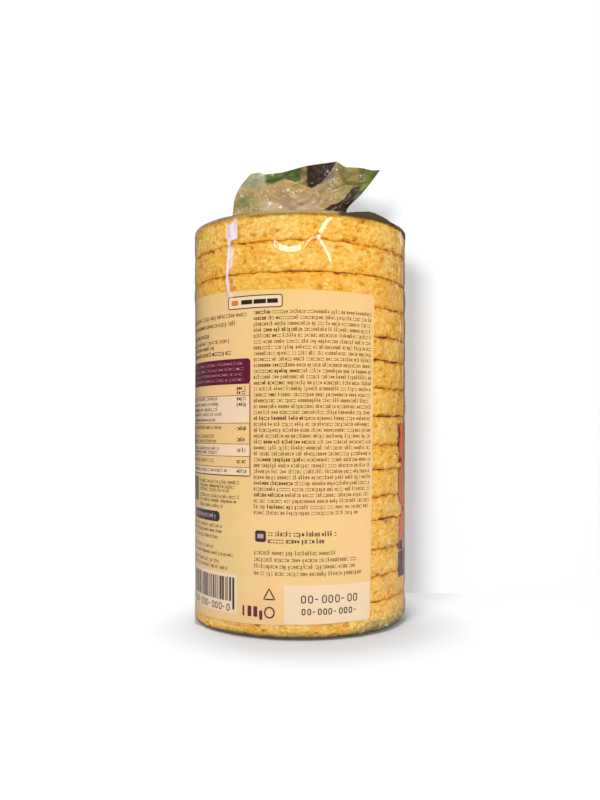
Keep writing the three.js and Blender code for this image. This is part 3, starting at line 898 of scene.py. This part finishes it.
def foot_rings(angle):
    """The film under the pack and round its lowest edge: rings that grow from the middle, with low
    radial folds, and then a quarter turn up to the side. The end seal's left corner stands out."""
    away = np.abs(wrap(angle - SEAL_CORNER["angle"]))
    corner = SEAL_CORNER["size"] * (1 - smoothstep(0, SEAL_CORNER["spread"], away))
    place = on_ring(angle, FILM_RADIUS, 0.0)
    turn_size = foot_turn(angle)
    flat_radius = film_radius(angle, 0.6) - turn_size
    rings = []
    for share in (0.04, 0.2, 0.4, 0.58, 0.74, 0.86, 0.94, 1.0):
        lift = 0.35 * share * (0.5 + 0.5 * fold(angle * 14 / np.pi + soft_noise(place, 15.0, 90)))
        rings.append(on_ring(angle, (flat_radius + corner) * share, lift * (1 - share**6)))
    for height in (0.12, 0.35, 0.7, 1.1, 1.6, 2.2, 2.9, 3.6, 4.2):
        out = film_radius(angle, height) - corner_inset(height, turn_size)
        rings.append(on_ring(angle, out + corner * np.exp(-height), height))
    return np.concatenate(rings)


def foot_print_and_glints(points):
    """The end seal's thin print low on the film, mostly at the right: a grey-green veil that fades out
    upwards, with darker flecks, and white flecks that are painted glints of the crumpled film, all
    cells of random tone. Returns the ink's colour and how much of the film it covers."""
    _, _, tone = cell_noise(points + 0.8 * soft_noise(points, 1.5, 92)[..., None], (1.9, 1.9, 0.8), 12)
    right = window(angle_of(points), 0.2, 0.9, 1.8, 2.5)
    reach = 2.0 + 4.5 * right + 1.6 * soft_noise(points, 5.0, 91)
    low = 1 - smoothstep(reach - 1.2, reach + 0.6, points[..., 2])
    # The white flecks are painted glints of the crumpled film, laid in the pale ink.
    dark, white = tone > 0.66, tone < 0.12
    ink = np.where(dark[..., None], np.array(GREY_OLIVE[:3]), np.array(GREY_GREEN[:3]))
    ink = np.where(white[..., None], np.array(PALE[:3]), ink)
    return ink, low * (0.05 + right * (0.33 + 0.3 * dark + 0.45 * white))


def make_film():
    """The film as one surface of rings from the middle of its foot to its cut edge, which is cut into
    three pieces of rows. Its rings lie closer together above the print than beside it. wall says how
    much the film darkens and shines at its edges, and haze how white its creases are."""
    film = film_material()
    angle = FILM_ANGLES[None, :]
    beside_print, above_print = np.linspace(4.9, 135, 110), np.linspace(135.4, STACK_TOP - 2.6, 80)
    height = np.concatenate([beside_print, above_print])[:, None]
    side = np.concatenate([foot_rings(angle), on_ring(angle, film_radius(angle, height), height)])
    top, rise = film_top(angle[0])
    side_ink_and_glare, side_cover_and_glare = foot_print_and_glints(side)
    # Painted highlight: the flat facet's glare and its thin tail, laid on the film as pale lavender ink.
    glare = painted_glare_patch(side)
    side_ink_and_glare = side_ink_and_glare * (1 - glare[..., None]) + np.array(GLARE_LAVENDER[:3]) * glare[..., None]
    side_cover_and_glare = np.maximum(side_cover_and_glare, 0.66 * glare)
    ink_top, cover_top = film_inks(top, rise)
    haze_top = crinkle_lines(top, rise) + 0.005
    haze_side = 0.003 + 0.24 * scratches(side)
    wall_side = 0.35 + 0.65 * smoothstep(1.0, 6.0, side[..., 2])
    wall_top = 1 - 0.85 * smoothstep(-0.09, -0.05, rise) + 0.5 * smoothstep(0.2, 0.45, rise)
    wall = np.concatenate([wall_side, np.repeat(wall_top[:, None], FILM_COLUMNS, axis=1)])
    whole = np.concatenate([side, top])
    normals = grid_normals(whole)
    cover = np.concatenate([side_cover_and_glare, cover_top])
    haze = np.concatenate([haze_side, haze_top])
    ink = np.concatenate([side_ink_and_glare, ink_top])
    ends = [0, len(side), len(side) + int(np.searchsorted(rise, 0.38)), len(whole) - 1]
    for name, first, last in zip(("film_side", "film_shoulder", "film_fin"), ends[:-1], ends[1:]):
        rows = slice(first, last + 1)
        points, turned = whole[rows].reshape(-1, 3), normals[rows].reshape(-1, 3)
        count = last + 1 - first
        faces = ring_faces(count, FILM_COLUMNS).tolist()
        values = {"cover": cover[rows].ravel(), "haze": haze[rows].ravel(), "wall": wall[rows].ravel()}
        colours = {"ink": ink[rows].reshape(-1, 3)}
        if first == 0:
            points = np.concatenate([points, [[0, 0, 0.05]]])
            turned = np.concatenate([turned, [[0, 0, -1]]])
            faces += start_fan(count, FILM_COLUMNS)
            values = {key: np.append(array, 0) for key, array in values.items()}
            colours["ink"] = np.concatenate([colours["ink"], [TAN[:3]]])
        new_piece(name, points, faces, film, ["filled_bag"], values, colours, turned)


# ---- the print ----
class Print:
    """Gathers flat marks, given in arcs and heights on the film, into one piece of print."""

    def __init__(self, inset):
        self.inset = inset
        self.points = []
        self.faces = []
        self.count = 0

    def lay(self, arcs, heights, faces):
        """Lays corners on the film, set in by the inset, with the faces between them."""
        angle = arcs / FILM_RADIUS
        points = on_ring(angle, film_radius(angle, heights) - self.inset, heights)
        self.points.append(points.reshape(-1, 3))
        self.faces.append(faces + self.count)
        self.count += arcs.size

    def grid(self, arcs, heights):
        """A patch whose corners are a grid of arcs and heights."""
        self.lay(arcs, heights, sheet_faces(*arcs.shape))

    def between(self, left, right, low, high, row_step=2.0, column_step=2.0):
        """A field between two edges, each a function of the height."""
        rows = max(2, int((high - low) / row_step) + 1)
        heights = np.linspace(low, high, rows)
        lefts, rights = left(heights), right(heights)
        columns = max(2, int((rights - lefts).max() / column_step) + 2)
        share = np.linspace(0, 1, columns)[None, :]
        arcs = lefts[:, None] + share * (rights - lefts)[:, None]
        self.grid(arcs, np.repeat(heights[:, None], columns, axis=1))

    def bar(self, left, low, right, high):
        """A plain rectangle."""
        self.between(lambda z: np.full_like(z, left), lambda z: np.full_like(z, right), low, high)

    def rounded(self, left, low, right, high, corner, rounds=(1, 1)):
        """A bar with round corners at the left, the right or both: the edges draw in as a circle."""
        def inset(z):
            return corner_inset(np.minimum(z - low, high - z), corner)

        def left_edge(z):
            return left + rounds[0] * inset(z)

        def right_edge(z):
            return right - rounds[1] * inset(z)

        self.between(left_edge, right_edge, low, high, corner / 4)

    def blocks(self, rects):
        """Many small bars at once: an array of left, low, right and high."""
        left, low, right, high = np.asarray(rects, float).T
        arcs = np.stack([left, right, right, left], -1)
        heights = np.stack([low, low, high, high], -1)
        self.lay(arcs, heights, np.arange(arcs.size).reshape(-1, 4))

    def stroke(self, line, width):
        """A closed line of even width: each point is set out and in along the mean normal."""
        ahead = np.roll(line, -1, axis=0) - np.roll(line, 1, axis=0)
        across = np.stack([-ahead[:, 1], ahead[:, 0]], -1)
        across *= width / 2 / np.linalg.norm(across, axis=1, keepdims=True)
        pair = np.stack([line - across, line + across])
        pair = np.concatenate([pair, pair[:, :1]], axis=1)
        self.grid(pair[..., 0], pair[..., 1])

    def piece(self, name, material, slot, nodes):
        """Makes the piece from all the marks that were laid."""
        faces = np.concatenate(self.faces).tolist()
        new_piece(name, np.concatenate(self.points), faces, material, nodes)


def round_frame(left, low, right, high, corner, steps=6):
    """Points of a frame with round corners, a quarter circle at each."""
    turn = np.linspace(0, np.pi / 2, steps)
    middles = (
        (right - corner, high - corner), (left + corner, high - corner),
        (left + corner, low + corner), (right - corner, low + corner),
    )
    parts = []
    for quarter, (x, z) in enumerate(middles):
        turned = turn + quarter * np.pi / 2
        parts.append(np.stack([x + corner * np.cos(turned), z + corner * np.sin(turned)], -1))
    return fill_line(np.concatenate(parts))


def round_ring(middle, radii, steps):
    """Points of an ellipse."""
    turn = np.linspace(0, 2 * np.pi, steps, endpoint=False)
    return np.stack([middle[0] + radii[0] * np.cos(turn), middle[1] + radii[1] * np.sin(turn)], -1)


def fill_line(line, step=2.0):
    """A closed line with more points on its long stretches, so that it can follow the film's curve."""
    filled = []
    for start, end in zip(line, np.roll(line, -1, axis=0)):
        count = max(1, int(np.linalg.norm(end - start) / step))
        filled.append(start + (end - start) * np.arange(count)[:, None] / count)
    return np.concatenate(filled)


def greeked_row(draw, left, right, height, x_height, stems=0.24):
    """A row of words of 2 to 10 marks in place of text. A mark is a block, a pair of short dashes or
    a thin upright, most as high as x_height and some taller or hanging lower."""
    rects = []
    advance = 0.78 * x_height
    low, high = height - x_height / 2, height + x_height / 2
    thin = stems * x_height
    at = left
    while at < right - advance:
        for _ in range(draw.integers(2, 11)):
            if at > right - advance:
                break
            width = advance * draw.uniform(0.62, 0.82)
            kind = draw.choice(4, p=[0.34, 0.3, 0.2, 0.16])
            if kind == 0:
                rects += [(at, high - thin, at + width, high), (at, low, at + width, low + thin)]
            elif kind == 1:
                rects += [(at, low, at + thin, high), (at + width - thin, low, at + width, high)]
            elif kind == 2:
                rise = draw.choice([-0.35, 0.4], p=[0.3, 0.7]) * x_height
                stem, dash = at + thin * 1.2, low + 0.3 * x_height
                rects.append((at, low + min(rise, 0), stem, high + max(rise, 0)))
                rects.append((stem, dash, at + width * 0.8, dash + thin))
            else:
                rects.append((at, low + 0.12 * x_height, at + width, high - 0.12 * x_height))
            at += advance
        at += 0.6 * advance
    return rects


def ring_marks(print_sheet, draw, left, right, low, high, stroke):
    """A row of plain rounded rings in place of stamped figures, with a dash as every fourth mark."""
    width = 0.62 * (high - low)
    middle, inset = (low + high) / 2, stroke / 2
    at = left
    count = 0
    while at + width < right:
        count += 1
        if count % 4 == 3:
            print_sheet.bar(at, middle - inset, at + width * 0.6, middle + inset)
        else:
            sides = (at + inset, low + inset, at + width - inset, high - inset)
            print_sheet.stroke(round_frame(*sides, width * 0.36, 5), stroke)
        at += width * draw.choice([1.3, 1.36, 1.42])


# Rows of the back panel's small text in the order of drawing: the kind, the left end, the height of its
# small letters, and each row's height and right end.
TEXT_BLOCKS = [
    ("text", -88, 1.3, [(126.0, -20), (122.8, -26.5)]), ("bold", -88, 1.3, [(119.0, -42.7)]),
    ("text", -88, 1.3, [(116.2, -29), (113.9, -39)]), ("bold", -88, 1.3, [(111.4, -29)]),
    ("text", -52.5, 1.1, [(60.3, -24.5), (58.5, -27), (56.9, -30), (54.5, -24.5), (52.7, -26), (50.6, -33)]),
    ("text", -88, 1.1, [
        (42.6, -33.9), (40.5, -33.9), (38.1, -36), (34.0, -39.7), (31.6, -28.0), (28.5, -35), (26.3, -30.6),
    ]),
    ("text", -18.3, 1.25, [(33.6, 15.3), (31.0, 24.1), (28.4, 23.1), (25.7, 25.5)]),
]
TABLE_ROWS = [93.5, 91.3, 89.2, 87.2, 85.0, 82.0, 78.4, 76.5, 73.6, 72.0, 68.8, 64.9]
TABLE_VALUES = [97.3, 95.6, 93.2, 91.0, 81.5, 77.2, 73.0, 68.6, 64.8]
MAIN_TEXT_ROWS = 35
MAIN_BOLD_ROWS = (0, 1, 3, 4, 9, 10, 12, 14, 18, 22, 24, 25, 29, 31, 33)  # rows that hold a bold stretch
# The table's sides, and its lines from the top down.
TABLE = {"left": -92, "right": -20.2, "low": 63.1, "high": 99.2}
TABLE_LINES = (94.5, 83.7, 75.5, 70.7, 66.4)


def make_cream_panel(nodes):
    """The back panel's ground: its right edge leans out on the way up and rounds off at both corners,
    and its upper and lower edges slope, each the other way."""
    slope = 0.02
    left, right_top = BACK_PANEL["from"] * FILM_RADIUS, BACK_PANEL["to"] * FILM_RADIUS
    right_low = np.radians(37.5) * FILM_RADIUS
    low, high = BACK_PANEL["low"], BACK_PANEL["high"]
    share = np.linspace(0, 1, 130)[:, None]
    right = right_low + (right_top - right_low) * share
    right = right - corner_inset(np.minimum(share, 1 - share) * (high - low), 1.2)
    arcs = left + (right - left) * np.linspace(0, 1, 90)[None, :]
    panel = Print(PANEL_INSET)
    panel.grid(arcs, low + slope * arcs + (high - low - 2 * slope * arcs) * share)
    cream = ink_material("cream_ink", CREAM, 0.08, 0.03, YELLOW_CREAM)
    panel.piece("cream_back_panel", cream, "cream_ink", nodes)


def make_fields_and_lines(nodes):
    """The pale fields, and the maroon table, its lines and its small marks near the foot."""
    pale = Print(PALE_INSET)
    pale.rounded(-30.6, 128.4, -6.9, 133.1, 0.9)
    for row_low, row_high in ((83.7, 94.5), (70.7, 75.5), (63.1, 66.4)):
        pale.bar(-90, row_low, TABLE["right"], row_high)
    pale.bar(-62.5, 8.8, -26.2, 24.4)
    pale.rounded(-6.2, 6.6, 29.6, 21.4, 0.8, (0, 1))
    pale.piece("pale_fields", ink_material("pale_ink", PALE, 0.05, 0.03), "pale_ink", nodes)

    maroon = Print(MAROON_INSET)
    left, right, low, high = TABLE.values()
    maroon.rounded(left, high, -20.0, 108.9, 1.3, (0, 1))
    outline = np.array([(left, high), (right, high), (right, low), (left, low)])
    maroon.stroke(fill_line(outline), 0.4)
    for row in TABLE_LINES:
        maroon.bar(left, row - 0.1, right, row + 0.1)
    for place in (-23.6, -21.3, -18.7):
        maroon.rounded(place, 8.7, place + (0.8 if place < -23 else 1.7), 12.8, 0.4)
    maroon.rounded(-16.2, 7.7, -14.9, 11.4, 0.5)
    maroon.stroke(round_ring((-12.0, 10.7), (1.9, 2.0), 28), 0.6)
    maroon.piece("maroon_marks", ink_material("maroon_ink", MAROON), "maroon_ink", nodes)


def make_dark_marks(nodes, draw):
    """The dark frame, fields and triangle, plain bars in place of a barcode, and rows of rings."""
    dark = Print(MARK_INSET)
    dark.stroke(round_frame(-30.6, 128.4, -6.9, 133.1, 0.9), 0.35)
    for start, end in ((-24.2, -19.2), (-18.6, -13.4), (-12.9, -8.6)):
        dark.bar(start, 129.9, end, 131.6)
    dark.rounded(-60.7, 44.4, -35.8, 48.6, 1.6)
    dark.rounded(-17.9, 37.8, -13.4, 42.2, 0.8)
    triangle = np.array([(-14.3, 15.8), (-12.1, 19.9), (-9.8, 15.8)])
    dark.stroke(fill_line(triangle, 1.0), 0.5)
    at = -60.0
    while at < -27.8:
        width = draw.choice([0.33, 0.33, 0.66, 1.0])
        low_end = 10.4 if at > -29 or at < -59 else 13.6
        dark.bar(at, low_end, min(at + width, -27.5), 23.0)
        at += width + draw.choice([0.33, 0.66, 0.66])
    ring_marks(dark, draw, -57.5, -29.0, 9.6, 12.4, 0.4)
    ring_marks(dark, draw, 0.4, 25.2, 14.5, 17.6, 0.42)
    ring_marks(dark, draw, 0.6, 25.4, 10.0, 12.5, 0.42)
    dark.piece("dark_marks", ink_material("dark_ink", INK_BLACK), "dark_ink", nodes)


def make_text(nodes, draw):
    """All small text as greeked rows in two inks: the main text, then the blocks, the table's rows and
    values, and two bold rows."""
    rects = {"text": [], "bold": []}
    for row in range(MAIN_TEXT_ROWS):
        height = 126.4 - 2.275 * row
        right_end = 31.2 - 0.04 * row + (0 if row < MAIN_TEXT_ROWS - 1 else -6)
        marks = greeked_row(draw, -18.5, right_end, height, 1.15)
        start, end = draw.integers(0, 12), draw.integers(14, 40)
        for number, mark in enumerate(marks):
            kind = "bold" if row in MAIN_BOLD_ROWS and start <= number < end else "text"
            rects[kind].append(mark)
    for kind, left, x_height, rows in TEXT_BLOCKS:
        for height, right_end in rows:
            rects[kind] += greeked_row(draw, left, right_end, height, x_height)
    for height in TABLE_ROWS:
        rects["text"] += greeked_row(draw, -88, draw.uniform(-40, -31), height, 1.1)
    for height in TABLE_VALUES:
        rects["bold"] += greeked_row(draw, -26.3, -21.6, height, 1.2)
    for height, right_end in ((40.9, 15.7), (38.2, 10.1)):
        rects["bold"] += greeked_row(draw, -12.6, right_end, height, 1.4)
    inks = (("text", "brown_ink", TEXT_BROWN), ("bold", "dark_brown_ink", BOLD_BROWN))
    for kind, ink_name, colour in inks:
        sheet = Print(MARK_INSET)
        sheet.blocks(rects[kind])
        sheet.piece(f"{kind}_rows", ink_material(ink_name, colour), "dark_ink", nodes)


def make_back_print():
    """The back panel in layers: ground, fields and lines, dark marks, text, pale text, and two plain
    fields of green and orange."""
    draw = np.random.default_rng(7)
    nodes = ["back_print"]
    make_cream_panel(nodes)
    make_fields_and_lines(nodes)
    make_dark_marks(nodes, draw)
    make_text(nodes, draw)

    white = Print(TOP_INSET)
    for height in (107.0, 104.9, 102.8, 100.7):
        white.blocks(greeked_row(draw, -88, -21.6 - draw.uniform(0, 1.5), height, 0.95, 0.12))
    white.blocks(greeked_row(draw, -58.5, -37.5, 46.5, 1.3))
    white.bar(-16.9, 39.2, -14.4, 40.9)
    white.piece("pale_rows", ink_material("pale_row_ink", PALE_ROSE), "pale_ink", nodes)

    leaf = Print(MARK_INSET)
    leaf.bar(-76, 51.8, -54.8, 61.6)
    leaf.piece("green_field", ink_material("green_ink", LEAF_GREEN), "green_ink", nodes)

    spot = Print(MARK_INSET)
    spot.rounded(-28.9, 129.7, -25.6, 131.7, 0.6)
    spot.piece("orange_spot", ink_material("orange_ink", ORANGE), "coral_ink", nodes)


def make_front_print():
    """The side that the photo doesn't show: a coral field over a maroon band, with a plain cream title
    plate and round lentils in two colours."""
    nodes = ["front_print"]
    left, right = FRONT_PANEL["from"] * FILM_RADIUS, FRONT_PANEL["to"] * FILM_RADIUS
    low, high = FRONT_PANEL["low"], FRONT_PANEL["high"]
    field = Print(PANEL_INSET)

    def worn_edge(z):
        """The left edge draws back where the film is wrinkled: two bells, and a fine wander."""
        breaks = bell(z - 66.4, 1.3) + bell(z - 48.0, 2.8)
        place = on_ring(FRONT_PANEL["from"], FILM_RADIUS, z)
        return left + 6.0 * breaks + 0.5 * soft_noise(place, 2.5, 95) + 0.3 * soft_noise(place, 0.9, 96)

    field.between(worn_edge, lambda z: np.full_like(z, right), low + 11, high, 0.5, 2.4)
    field.piece("coral_front_field", ink_material("coral_ink", CORAL, 0.25, 0.05), "coral_ink", nodes)
    band = Print(PANEL_INSET)
    band.grid(*np.meshgrid(np.linspace(left, right, 90), np.linspace(low, low + 10.6, 12)))
    band.bar(left, 67.6, left + 4, 69.4)
    band.bar(left + 0.3, 31.2, left + 5, 35.0)
    band.piece("maroon_front_band", ink_material("maroon_front_ink", MAROON), "maroon_ink", nodes)
    middle = (left + right) / 2
    plate = Print(MARK_INSET)
    plate.rounded(middle - 26, 52, middle + 26, 76, 6)
    plate.piece("cream_title_plate", ink_material("cream_front_ink", CREAM), "cream_ink", nodes)
    draw = np.random.default_rng(3)
    lentils = {"green": Print(TOP_INSET), "orange": Print(UPPER_INSET)}
    for number in range(26):
        kind = ("green", "orange")[number % 2]
        centre = np.array([middle - 48 + 3.9 * number, 40 + 5 * draw.uniform(-1, 1)])
        size = draw.uniform(2.2, 3.4)
        half = np.array([size, size * 0.8])
        lentils[kind].rounded(*(centre - half), *(centre + half), size * 0.78)
    lentils["green"].piece("green_lentils", ink_material("green_lentil_ink", LEAF_GREEN), "green_ink", nodes)
    lentils["orange"].piece("orange_lentils", ink_material("orange_lentil_ink", ORANGE), "coral_ink", nodes)


# ---- camera, floor and light ----
# Sizes of the stage and its lights are in metres.
FLOOR_LEVEL = -0.0002  # a hair under the foot, so that the two don't flicker
STAGE_REACH = 4.0
WALL_PLACE = 0.049  # how far behind the axis the backdrop stands
FLOOR_BOUNCE = 0.285  # how pale the floor is for all rays but the camera's
LIGHT_TARGET = (0, 0, 0.12)
# Brightness of the world, what a mirror image of it loses, and what the camera sees on top.
WORLD_LIGHT, MIRROR_LOSS, CAMERA_GAIN = 0.67, 0.53, 0.35


def make_camera():
    """A level camera in front of the pack, shifted so that the horizon lies as in the photo."""
    data = bpy.data.cameras.new("camera")
    data.sensor_width = 36
    data.lens = FOCAL_PIXELS / FRAME_HEIGHT * data.sensor_width
    data.shift_y = HORIZON_DROP / FRAME_HEIGHT
    data.clip_start = 0.01
    camera = bpy.data.objects.new("camera", data)
    camera.location = (0, -CAMERA_DISTANCE * MM, CAMERA_HEIGHT * MM)
    camera.rotation_euler = (np.pi / 2, 0, 0)
    bpy.context.scene.collection.objects.link(camera)
    bpy.context.scene.camera = camera


def area_light(name, azimuth, elevation, distance, width, height, radiance, mirrored=True):
    """A rectangular light that looks at the pack's upper half, with its brightness as radiance. One
    that isn't mirrored only brightens, and the film shows no image of it."""
    data = bpy.data.lights.new(name, "AREA")
    data.shape = "RECTANGLE"
    data.size, data.size_y = width, height
    data.energy = radiance * np.pi * width * height
    light = bpy.data.objects.new(name, data)
    turn, climb = np.radians([azimuth, elevation])
    away = Vector((np.sin(turn) * np.cos(climb), -np.cos(turn) * np.cos(climb), np.sin(climb)))
    light.location = Vector(LIGHT_TARGET) + away * distance
    light.rotation_euler = away.to_track_quat("Z", "Y").to_euler()
    light.visible_glossy = mirrored
    bpy.context.scene.collection.objects.link(light)
    return light


def stage_piece(name, corners, glow, far_glow, albedo, one_sided=False):
    """A large pale plane of the stage, which the camera sees brighter than the pack does. Its glow
    grows away from the pack, where the stage's lights don't reach. A one-sided plane shows from its
    front alone, and only the camera sees it, so that it carries nothing but the pack's soft shadow."""
    pale, wiring = new_material(name)
    seen = wiring.add("ShaderNodeLightPath").outputs["Is Camera Ray"]
    shown = (0.98 * albedo, albedo, 1.03 * albedo, 1)
    grey = wiring.mix(seen, (FLOOR_BOUNCE, FLOOR_BOUNCE, FLOOR_BOUNCE, 1), shown)
    distance = wiring.add("ShaderNodeVectorMath", {0: wiring.place()}, operation="LENGTH").outputs["Value"]
    strength = wiring.math("MULTIPLY", seen, wiring.spread(distance, 0.25, 1.5, glow, far_glow))
    surface = wiring.add("ShaderNodeBsdfPrincipled", {
        "Base Color": grey, "Roughness": 0.9, "Specular IOR Level": 0.0,
        "Emission Color": (1, 1, 1, 1), "Emission Strength": strength,
    }).outputs[0]
    if one_sided:
        behind = wiring.add("ShaderNodeNewGeometry").outputs["Backfacing"]
        clear = wiring.add("ShaderNodeBsdfTransparent", {"Color": (1, 1, 1, 1)}).outputs[0]
        surface = wiring.add("ShaderNodeMixShader", {0: behind, 1: surface, 2: clear}).outputs[0]
    wiring.add("ShaderNodeOutputMaterial", {"Surface": surface})
    mesh = bpy.data.meshes.new(name)
    mesh.from_pydata(corners, [], [(0, 1, 2, 3)])
    mesh.materials.append(pale)
    piece = bpy.data.objects.new(name, mesh)
    bpy.context.scene.collection.objects.link(piece)
    if one_sided:
        for ray in ("diffuse", "glossy", "transmission", "shadow", "volume_scatter"):
            setattr(piece, f"visible_{ray}", False)
    return piece


def make_stage():
    """The floor, and the backdrop just behind the pack."""
    reach, wall, level = STAGE_REACH, WALL_PLACE, FLOOR_LEVEL
    floor = [(-reach, -reach, level), (reach, -reach, level), (reach, reach, level), (-reach, reach, level)]
    floor_piece = stage_piece("floor", floor, 0.08, 0.8, 0.5)
    backdrop = [(-reach, wall, level), (reach, wall, level), (reach, wall, reach), (-reach, wall, reach)]
    return floor_piece, stage_piece("backdrop", backdrop, 0.42, 0.8, 0.35, one_sided=True)


def aim(lights, pieces, state):
    """Lets lights fall on some pieces alone (INCLUDE), or on all but those (EXCLUDE)."""
    group = bpy.data.collections.new(f"lit_{state.lower()}_{pieces[0].name}")
    for piece in pieces:
        group.objects.link(piece)
    for member in group.collection_objects:
        member.light_linking.link_state = state
    for light in lights:
        light.light_linking.receiver_collection = group


def make_lights(floor, backdrop):
    """Each light's turn and climb are in degrees, and its distance, width and height in metres. The
    pack's own lights leave the stage alone, and the stage's three lights only cast the pack's soft
    shadow: to the right on the backdrop, and to the right and to the front on the floor."""
    key = area_light("key_softbox", -14, 42, 1.0, 0.36, 0.26, 10.8)
    right_fill = area_light("right_fill", 45, 20, 1.0, 0.5, 0.5, 4.6, mirrored=False)
    left_fill = area_light("left_fill", -75, 15, 1.0, 0.5, 0.5, 2.8, mirrored=False)
    left_strip = area_light("left_strip", -75.3, 23.3, 0.9, 0.06, 0.416, 9)
    left_strip.data.color = (0.5, 0.6, 1.0)
    right_strip = area_light("right_strip", 25.7, 27, 0.9, 0.05, 0.44, 14)
    side_glint = area_light("side_glint", 135, 22, 0.9, 0.12, 0.5, 1.3)
    aim([key, right_fill, left_fill, left_strip, right_strip, side_glint], [floor, backdrop], "EXCLUDE")
    aim([area_light("backdrop_light", -14, 7, 1.0, 0.2, 0.2, 116)], [backdrop], "INCLUDE")
    floor_front = area_light("floor_front_light", -17, 60, 1.0, 0.2, 0.2, 68)
    floor_back = area_light("floor_back_light", -168, 83.5, 1.0, 0.2, 0.2, 67)
    aim([floor_front, floor_back], [floor], "INCLUDE")
    world = bpy.data.worlds.new("studio")
    bpy.context.scene.world = world
    world.use_nodes = True
    world.node_tree.nodes.clear()
    wiring = Wiring(world.node_tree)
    ray = wiring.add("ShaderNodeLightPath")
    lost = wiring.math("MULTIPLY", ray.outputs["Is Glossy Ray"], MIRROR_LOSS)
    gained = wiring.math("MULTIPLY", ray.outputs["Is Camera Ray"], CAMERA_GAIN)
    strength = wiring.math("ADD", wiring.math("SUBTRACT", WORLD_LIGHT, lost), gained)
    surface = wiring.add("ShaderNodeBackground", {"Color": (1, 1, 1, 1), "Strength": strength}).outputs[0]
    wiring.add("ShaderNodeOutputWorld", {"Surface": surface})


make_camera()
make_cakes()
make_film()
make_back_print()
make_front_print()
make_lights(*make_stage())

scene = bpy.context.scene
scene.view_settings.view_transform = "Standard"
scene.cycles.transparent_max_bounces = 32
